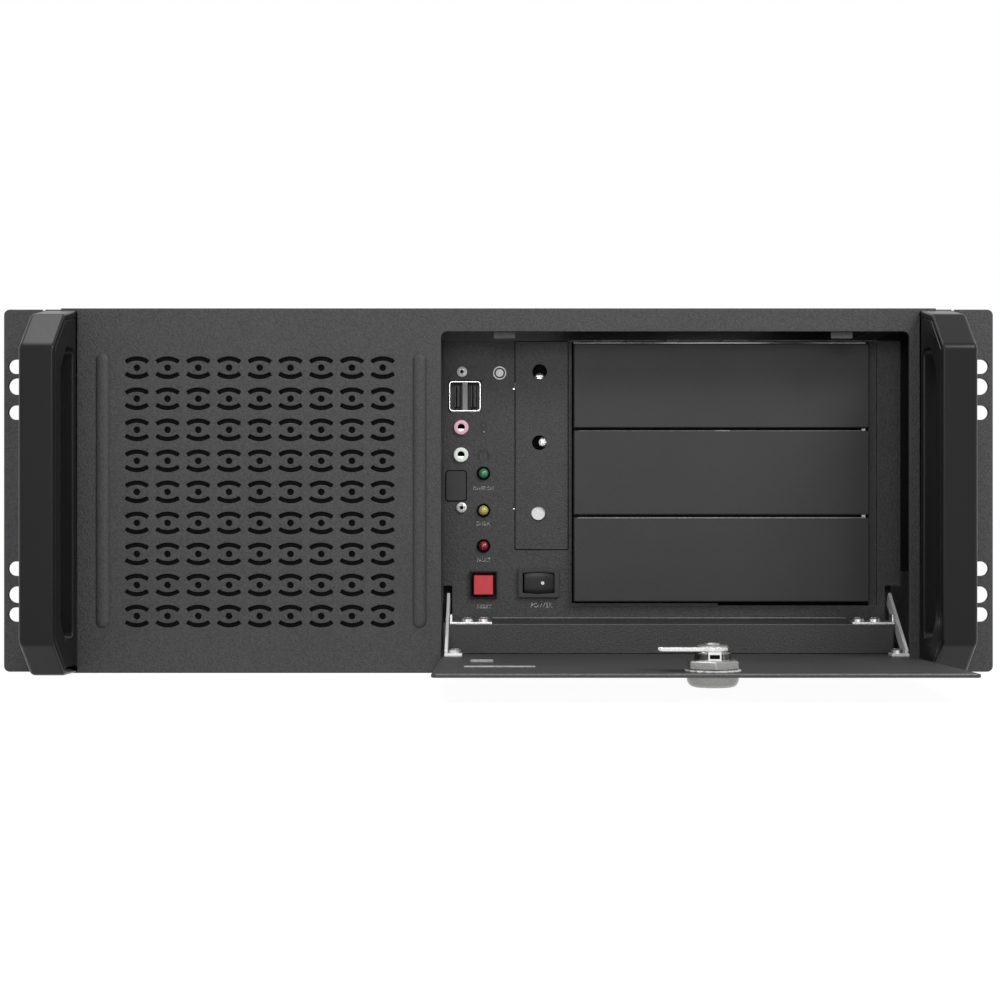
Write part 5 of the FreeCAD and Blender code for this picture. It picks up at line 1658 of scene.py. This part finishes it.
@dataclass
class Marks(Fitting):
    """The plain words and signs beside the fittings, the words' painted highlight, and the access plate's hooks."""

    words: tuple[Word, ...] = (Word("POWER ON", -8.0, 1.7, 10.2, 1.9), Word("DISK", -7.9, -16.2, 7.4, 1.9),
                               Word("FAULT", -7.8, -34.6, 6.8, 2.0), Word("RESET", -7.6, -58.3, 7.4, 1.8),
                               Word("POWER", 21.4, -57.6, 10.8, 2.4))
    rise: float = 0.14
    root: float = 0.02
    rim: float = 0.05
    # thickness and smoothness of the letters, as drawn
    letter_depth: float = 0.02
    letter_steps: int = 2
    # shift and rise of the paler copy of each word, a painted highlight on the letters' lower edges
    highlight_shift: Point = (0.12, -0.32)
    highlight_rise: float = 0.10
    # the microphone sign: middle, width and height of each part
    capsule: tuple[float, ...] = (-7.5, 32.2, 3.0, 6.3)
    capsule_hole: tuple[float, ...] = (-7.5, 33.3, 1.7, 2.4)
    capsule_foot: tuple[float, ...] = (-7.5, 29.9, 1.1, 0.5)
    headband: Point = (-7.7, 18.0)
    headband_radii: Point = (3.0, 2.2)
    # the headphone sign's cups
    cup_offset: float = 2.5
    cup_half: float = 0.7
    cup_ends: Point = (15.8, 18.2)
    cup_corner: float = 0.3
    ring: Point = (0.5, 59.8)
    ring_radii: Triple = (3.35, 2.75, 1.95)
    hook_heights: Point = (53.6, -7.2)
    # shift from the plate's edge, width, height and rise
    hook: tuple[float, ...] = (-0.2, 1.5, 2.8, 0.62)
    hook_end: tuple[float, ...] = (-0.8, 1.0, 0.5, 0.3)
    hook_end_drop: float = 1.9

    def build(self) -> None:
        """Makes the words with their painted highlight, the signs, the plain ring and the hooks."""
        words, ring, shine = (bmesh.new() for _ in range(3))
        for word in self.words:
            self._word(words, word, (0.0, 0.0), self.rise)
            self._word(shine, word, self.highlight_shift, self.highlight_rise)
        front, back = self.face - self.rise, self.face + self.root
        self._printed(words, stadium(*self.capsule), stadium(*self.capsule_hole))
        stacked(shine, stadium(*self.capsule_foot, 4), [(0.0, back), (0.0, front - self.root)])
        (x, z), (wide, narrow) = self.headband, self.headband_radii
        self._printed(words, arc(x, z, wide, 0, 180, 20) + arc(x, z, narrow, 180, 0, 20))
        (low, high), flat = self.cup_ends, [(0.0, back), (0.0, front)]
        for side in (-1, 1):
            cup = x + side * self.cup_offset
            stacked(words, rounded_rectangle((cup - self.cup_half, low), (cup + self.cup_half, high),
                                             self.cup_corner, 3), flat)
        outer, inner, heart = self.ring_radii
        self._printed(ring, circle(*self.ring, outer, 40), circle(*self.ring, inner, 40))
        stacked(ring, circle(*self.ring, heart, 30), flat)
        self.shop.piece("panel_words", words, "switch_black", "chassis")
        self.shop.piece("panel_word_edges", shine, "painted_letter_highlight", "chassis", slot="port_insert")
        self.shop.piece("panel_ring", ring, "white_print_and_painted_highlight", "chassis", slot="port_insert")
        self._hooks(back)

    def _printed(self, mesh: bmesh.types.BMesh, outline: Loop, *holes: Loop) -> None:
        """Adds one raised sign of an outline and its holes."""
        edges = [Contour(loop, rim=self.rim, steps=1) for loop in (outline, *holes)]
        SheetForm(edges[0], self.face - self.rise, self.face + self.root, edges[1:]).add_to(mesh)

    def _word(self, mesh: bmesh.types.BMesh, word: Word, shift: Point, rise: float) -> None:
        """Adds one raised word, centred at its place.

        Args:
            mesh: the mesh that receives it.
            word: the word.
            shift: how far it is moved across and up.
            rise: how far it stands out of the panel.
        """
        curve = bpy.data.curves.new("word", "FONT")
        curve.body, curve.size = word.text, 1.0
        curve.extrude, curve.resolution_u = self.letter_depth, self.letter_steps
        curve.align_x, curve.align_y = "CENTER", "CENTER"
        item = bpy.data.objects.new("word", curve)
        bpy.context.scene.collection.objects.link(item)
        graph = bpy.context.evaluated_depsgraph_get()
        data = bpy.data.meshes.new_from_object(item.evaluated_get(graph), depsgraph=graph)
        xs, ys = [v.co.x for v in data.vertices], [v.co.y for v in data.vertices]
        wide, tall = word.width / (max(xs) - min(xs)), word.height / (max(ys) - min(ys))
        x, z, middle = word.x + shift[0], word.z + shift[1], (max(ys) + min(ys)) / 2
        for v in data.vertices:
            depth = self.face - (rise if v.co.z > 0 else -self.root)
            v.co = (x + v.co.x * wide, depth, z + (v.co.y - middle) * tall)
        mesh.from_mesh(data)
        bpy.data.objects.remove(item)

    def _hooks(self, back: float) -> None:
        """Makes the two hooks at the access plate's edge, near-black as painted shade of their notches, with their
        bright ends.

        Args:
            back: the depth at which they start.
        """
        hooks, glints = bmesh.new(), bmesh.new()
        plate = corners_of("access_plate")[0].x
        for z in self.hook_heights:
            for mesh, (shift, wide, tall, rise), drop, steps in ((hooks, self.hook, 0.0, 6),
                                                                 (glints, self.hook_end, self.hook_end_drop, 4)):
                stacked(mesh, stadium(plate + shift, z - drop, wide, tall, steps),
                        [(0.0, back), (0.0, self.face - rise)])
        # the near-black stadiums are painted shade in the clips' notches
        self.shop.piece("plate_hooks", hooks, "switch_black", "chassis")
        self.shop.piece("plate_hook_ends", glints, "zinc_plate", "chassis")


@dataclass
class Trims(Fitting):
    """Thin trims: plate seams, painted highlights on edges, painted-shade bay shields, the pockets behind the arms."""

    # plate, seam width and corner radius
    seams: tuple[tuple[str, float, float], ...] = (("access_plate", 0.45, 0.3), ("blank_plate", 0.5, 1.2))
    seam_depths: Point = (-0.06, 0.05)
    seam_rim: float = 0.02
    ledge_ends: Point = (-21.0, 194.0)
    ledge_front: float = 12.0
    ledge_drop: float = 0.15
    # depth from the panel's face, and height over the ledge or from the middle
    root_line: Point = (-1.4, 2.0)
    bay_ends: Point = (37.0, 191.8)
    bay_line: Point = (-0.2, -58.4)
    line_radii: Point = (0.2, 0.42)
    # depth, height and radius
    door_line: Triple = (-0.62, 76.9, 0.3)
    line_inset: float = 2.0
    sheet: float = 0.6
    sheet_rim: float = 0.1
    shield_depth: float = 9.6
    shield_inset: float = 0.8
    # reach to the left, drop and depth
    low_sill: Triple = (1.0, 2.7, -0.5)
    # start and end from the covers' right side, and depth
    side_sill: Triple = (0.9, 6.0, 1.3)
    # the left shade, the lower one to the left and the right one
    shade_reach: Triple = (4.0, 1.6, 1.4)
    shade_drop: float = 3.2
    shade_depth: float = 2.2
    strip_depth: float = 4.5
    bay_split: float = 111.0
    bay_top: float = 75.6
    lap: float = 0.3
    side_lap: float = 0.4
    # start from the panel's edge, right end, foot and head
    strip: tuple[float, float, float, float] = (-0.4, 211.6, -41.0, 84.0)
    # from a cover's near upper edge
    glint_place: Point = (0.3, -0.22)
    glint_radii: Point = (0.24, 0.2)
    # depth and height from that edge, left and right ends
    short_glint: tuple[float, ...] = (0.32, -0.2, 108.8, 116.6)
    pocket_margin: float = 4.0
    pocket_heights: Point = (-68.0, -42.0)
    pocket_depths: Point = (46.5, 47.5)

    def build(self, door: Matrix) -> None:
        """Makes every trim.

        Args:
            door: the turn that takes the shut door to its place at rest.
        """
        self._seams()
        self._folds(door)
        self._shields()
        self._cover_lines()
        self._pockets()

    def _plate(self, mesh: bmesh.types.BMesh, low: Point, high: Point, depth: float) -> None:
        """Adds one thin plate between two corners, at a depth behind the inner panel's face."""
        edge = Contour(rectangle(low, high), rim=self.sheet_rim, steps=1)
        SheetForm(edge, self.face + depth, self.face + depth + self.sheet).add_to(mesh)

    def _seams(self) -> None:
        """Makes the dark seams round the two screwed plates."""
        seams, (near, far) = bmesh.new(), self.seam_depths
        for node, wide, corner in self.seams:
            low, high = corners_of(node)
            loops = (rounded_rectangle((low.x - wide, low.z - wide), (high.x + wide, high.z + wide), corner + wide, 4),
                     rounded_rectangle((low.x, low.z), (high.x, high.z), corner, 4))
            outer, inner = (Contour(loop, rim=self.seam_rim, steps=1) for loop in loops)
            SheetForm(outer, self.face + near, self.face + far, [inner]).add_to(seams)
        self.shop.piece("plate_seams", seams, "black_and_painted_shade", "chassis", slot="black_powder_coat")

    def _folds(self, door: Matrix) -> None:
        """Makes the painted highlights along the ledge's folds and the door's free edge.

        Args:
            door: the turn that takes the shut door to its place at rest.
        """
        folds, edge = bmesh.new(), bmesh.new()
        left, right = corners_of("hinge_bracket_left"), corners_of("hinge_bracket_right")
        ledge, (thin, thick) = left[0].z, self.line_radii
        (root_y, root_z), (bay_y, bay_z) = self.root_line, self.bay_line
        lines = ((self.ledge_ends, self.ledge_front, ledge - self.ledge_drop, thin),
                 ((left[1].x, right[0].x), self.face + root_y, ledge + root_z, thick),
                 (self.bay_ends, self.face + bay_y, bay_z, thin))
        for ends, y, z, radius in lines:
            stacked(folds, circle(y, z, radius, 8), [(0.0, x) for x in ends], axis=Axis.X)
        low, high = corners_of("door")
        ends = (low.x + self.line_inset, high.x - self.line_inset)
        stacked(edge, circle(*self.door_line, 8), [(0.0, x) for x in ends], axis=Axis.X)
        self.shop.piece("ledge_folds", folds, "painted_highlight_dim", "chassis", slot="black_powder_coat")
        self.shop.piece("door_edge_line", edge, "painted_highlight_dim", "door", place=door, slot="black_powder_coat")

    def _shields(self) -> None:
        """Makes the bay covers' shield, sills and shades and the strip beside them; all but the sills are painted
        shade.
        """
        shield, sill, shade = (bmesh.new() for _ in range(3))
        low, high = corners_of("bay_cover_3")[0], corners_of("bay_cover_1")[1]
        inset, split, top, foot = self.shield_inset, self.bay_split, self.bay_top, low.z - self.shade_drop
        self._plate(shield, (low.x + inset, low.z + inset), (high.x - inset, high.z - inset), self.shield_depth)
        overhang, drop, depth = self.low_sill
        self._plate(sill, (low.x - overhang, low.z - drop), (split, low.z - inset), depth)
        (far_left, left, right), side, under = self.shade_reach, high.x - self.side_lap, low.z + self.lap
        for start, end, head in ((low.x - left, split, under), (split, side, under), (side, high.x + right, top),
                                 (low.x - far_left, low.x + self.lap, top)):
            self._plate(shade, (start, foot), (end, head), self.shade_depth)
        start, end, depth = self.side_sill
        self._plate(sill, (high.x + start, foot), (high.x + end, top), depth)
        start, end, strip_low, strip_high = self.strip
        panel_edge = corners_of("inner_panel")[1].x + start
        self._plate(shield, (panel_edge, strip_low), (end, strip_high), self.strip_depth)
        # near-black plates: painted shade in the gaps round the covers and beside them
        self.shop.piece("bay_shield", shield, "switch_black", "chassis", slot="zinc_plate")
        self.shop.piece("bay_sills", sill, "black_powder_coat", "chassis")
        self.shop.piece("bay_shades", shade, "black_and_painted_shade", "chassis", slot="black_powder_coat")

    def _cover_lines(self) -> None:
        """Makes the painted highlights on the upper edges of the two lower bay covers."""
        glint, dim = bmesh.new(), bmesh.new()
        y, z = self.glint_place
        for node, mesh, radius in zip(("bay_cover_3", "bay_cover_2"), (glint, dim), self.glint_radii):
            start, end = corners_of(node)
            stacked(mesh, circle(start.y + y, end.z + z, radius, 8),
                    [(0.0, start.x + self.line_inset), (0.0, end.x - self.line_inset)], axis=Axis.X)
        y, z, left, right = self.short_glint
        start, end = corners_of("bay_cover_2")
        stacked(glint, circle(start.y + y, end.z + z, self.glint_radii[0], 8), [(0.0, left), (0.0, right)], axis=Axis.X)
        # the pale rods are painted highlights on the covers' upper edges
        self.shop.piece("bay_cover_glints", glint, "painted_highlight_pale", "chassis", slot="black_powder_coat")
        self.shop.piece("bay_cover_lines", dim, "painted_highlight_dim", "chassis", slot="black_powder_coat")

    def _pockets(self) -> None:
        """Closes the notches that the arms' tails swing through."""
        mesh, (foot, head), (near, far) = bmesh.new(), self.pocket_heights, self.pocket_depths
        for node in ("hinge_arm_left", "hinge_arm_right"):
            low, high = corners_of(node)
            loop = rectangle((low.x - self.pocket_margin, foot), (high.x + self.pocket_margin, head))
            SheetForm(Contour(loop, rim=self.sheet_rim, steps=1), near, far).add_to(mesh)
        self.shop.piece("arm_pockets", mesh, "black_powder_coat", "chassis")


@dataclass
class Lock:
    """The cam lock on the door, drawn about its axis on the shut door."""

    shop: Workshop
    up: float
    head: tuple[Point, ...] = ((0.0, -2.0), (0.0, -3.9), (0.2, -4.9), (0.7, -5.8), (1.0, -6.1), (4.0, -6.2))
    crown: tuple[Point, ...] = ((3.0, -5.9), (0.95, -6.0), (1.1, -6.3), (1.8, -6.85), (2.9, -7.15), (4.6, -7.2),
                                (5.0, -7.0), (5.3, -6.4), (9.5, -6.4))
    head_radius: float = 11.0
    barrel: tuple[Point, ...] = ((0.0, 4.0), (0.0, 4.6), (0.4, 4.9), (0.0, 5.2), (0.4, 5.5), (0.0, 5.8), (0.4, 6.1),
                                 (0.0, 6.4), (0.4, 6.7), (0.0, 7.0), (0.0, 7.6), (0.3, 7.9))
    barrel_radius: float = 8.0
    barrel_flat: float = 6.7
    # half width, foot and top from the axis, near and far depths
    flat_plate: tuple[float, ...] = (2.7, -6.9, 7.3, 4.2, 7.9)
    notch: tuple[float, ...] = (2.1, 6.9, 7.42, 5.0, 6.7)
    key_slot: tuple[float, ...] = (0.55, -2.7, 2.7, -6.0, -6.46)
    nut_corner: float = 11.9
    nut_round: float = 1.0
    nut: tuple[Point, ...] = ((0.7, 0.3), (0.0, 0.8), (0.0, 3.6), (0.5, 4.1), (0.95, 4.2))
    teeth: int = 18
    tooth_radii: Point = (10.9, 11.9)
    washer: tuple[Point, ...] = ((0.0, -0.4), (0.0, 0.25))
    cap_radius: float = 6.6
    cap: tuple[Point, ...] = ((0.0, 9.82), (0.0, 10.2), (0.3, 10.45), (2.2, 10.6))
    screw_radius: float = 3.3
    screw: tuple[Point, ...] = ((0.0, 10.5), (0.0, 11.0), (0.3, 11.3), (1.4, 11.35), (1.5, 10.8), (2.4, 10.8))

    def build(self, door: Matrix) -> None:
        """Makes the head, the threaded barrel, the nut with its toothed washer and the cam's cap; crown and flat are
        painted highlights.

        Args:
            door: the turn that takes the shut door to its place at rest.
        """
        low, high = corners_of("lock_nut")
        x = (low.x + high.x) / 2
        body, crown, flat, nut, washer, cap, dark = (bmesh.new() for _ in range(7))
        barrel = [(u, max(self.up - self.barrel_flat, min(self.up + self.barrel_flat, v)))
                  for u, v in circle(x, self.up, self.barrel_radius, 48)]
        hexagon = [polar(x, self.up, self.nut_corner, 150 + 60 * k) for k in range(6)]
        toothed = [polar(x, self.up, self.tooth_radii[k % 2], 180 * k / self.teeth) for k in range(2 * self.teeth)]
        stacked(body, circle(x, self.up, self.head_radius, 56), self.head)
        stacked(crown, circle(x, self.up, self.head_radius, 56), self.crown)
        stacked(body, barrel, self.barrel)
        for mesh, (half, foot, top, near, far) in ((flat, self.flat_plate), (dark, self.notch), (dark, self.key_slot)):
            stacked(mesh, rectangle((x - half, self.up + foot), (x + half, self.up + top)), [(0.0, near), (0.0, far)])
        stacked(nut, rounded(hexagon, [self.nut_round] * 6, 3), self.nut)
        stacked(washer, toothed, self.washer)
        stacked(cap, circle(x, self.up, self.cap_radius, 40), self.cap)
        stacked(cap, circle(x, self.up, self.screw_radius, 32), self.screw)
        for name, mesh, finish, body_name, replaced in (
                ("lock_body_dressed", body, "dark_nickel", "door", ("lock_body",)),
                # the crown's paler nickel and the flat's pale zinc are painted highlights on the one-metal head and
                # barrel
                ("lock_crown", crown, "pale_nickel", "door", ()),
                ("lock_barrel_flat", flat, "pale_zinc", "door", ()),
                # near-black plates in the notch and key slot: painted shade
                ("lock_recesses", dark, "black_and_painted_shade", "door", ()),
                ("lock_nut_dressed", nut, "pale_nickel", "door", ("lock_nut",)),
                ("lock_washer", washer, "pale_zinc", "door", ()),
                ("lock_cam_screw_dressed", cap, "pale_nickel", "cam", ("lock_cam_screw",))):
            self.shop.piece(name, mesh, finish, body_name, replaced, door, "bright_nickel")


# ------------------------------------------------------------------ the whole
def dress_nodes(paint: Paintbox) -> None:
    """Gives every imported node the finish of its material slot.

    Args:
        paint: the finishes.
    """
    for name, piece in frame["nodes"].items():
        piece.data.materials.clear()
        piece.data.materials.append(paint.get(SLOTS[name]))
        LOG.info("dressed %s as %s", name, SLOTS[name])


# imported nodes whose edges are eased, with the width of the easing and the body of each
EASED = (
    ("access_plate", 0.15, "chassis"), ("blank_plate", 0.15, "chassis"),
    ("bay_cover_1", 0.35, "chassis"), ("bay_cover_2", 0.35, "chassis"), ("bay_cover_3", 0.35, "chassis"),
    ("hinge_arm_left", 0.2, "door"), ("hinge_arm_right", 0.2, "door"),
    ("hinge_bracket_left", 0.2, "chassis"), ("hinge_bracket_right", 0.2, "chassis"),
    ("lock_cam", 0.2, "cam"),
    ("chassis_tray", 0.2, "chassis"), ("top_cover", 0.25, "chassis"), ("rear_panel", 0.15, "chassis"),
    ("slot_covers", 0.12, "chassis"), ("crossbar", 0.2, "chassis"), ("drive_cage", 0.15, "chassis"),
)


def main() -> None:
    """Builds the studio and every piece, in order."""
    logging.basicConfig(level=logging.INFO)
    Studio().build()
    paint = Paintbox()
    dress_nodes(paint)
    shop = Workshop(paint)
    FrontPanel(shop, VentField()).build()
    for name in ("handle_left", "handle_right"):
        Handle(shop, name).build()
    door = Door(shop)
    door.build()
    Fasteners(shop).build(door.swing())
    for fitting in (TwinSocket, Jacks, PanelLamps, ResetKey, PowerRocker, AccessHoles, Marks):
        fitting(shop).build()
    Trims(shop).build(door.swing())
    Lock(shop, door.lock_up).build(door.swing())
    for node, width, body in EASED:
        shop.eased(node, width, body)


if __name__ == "__main__":
    main()
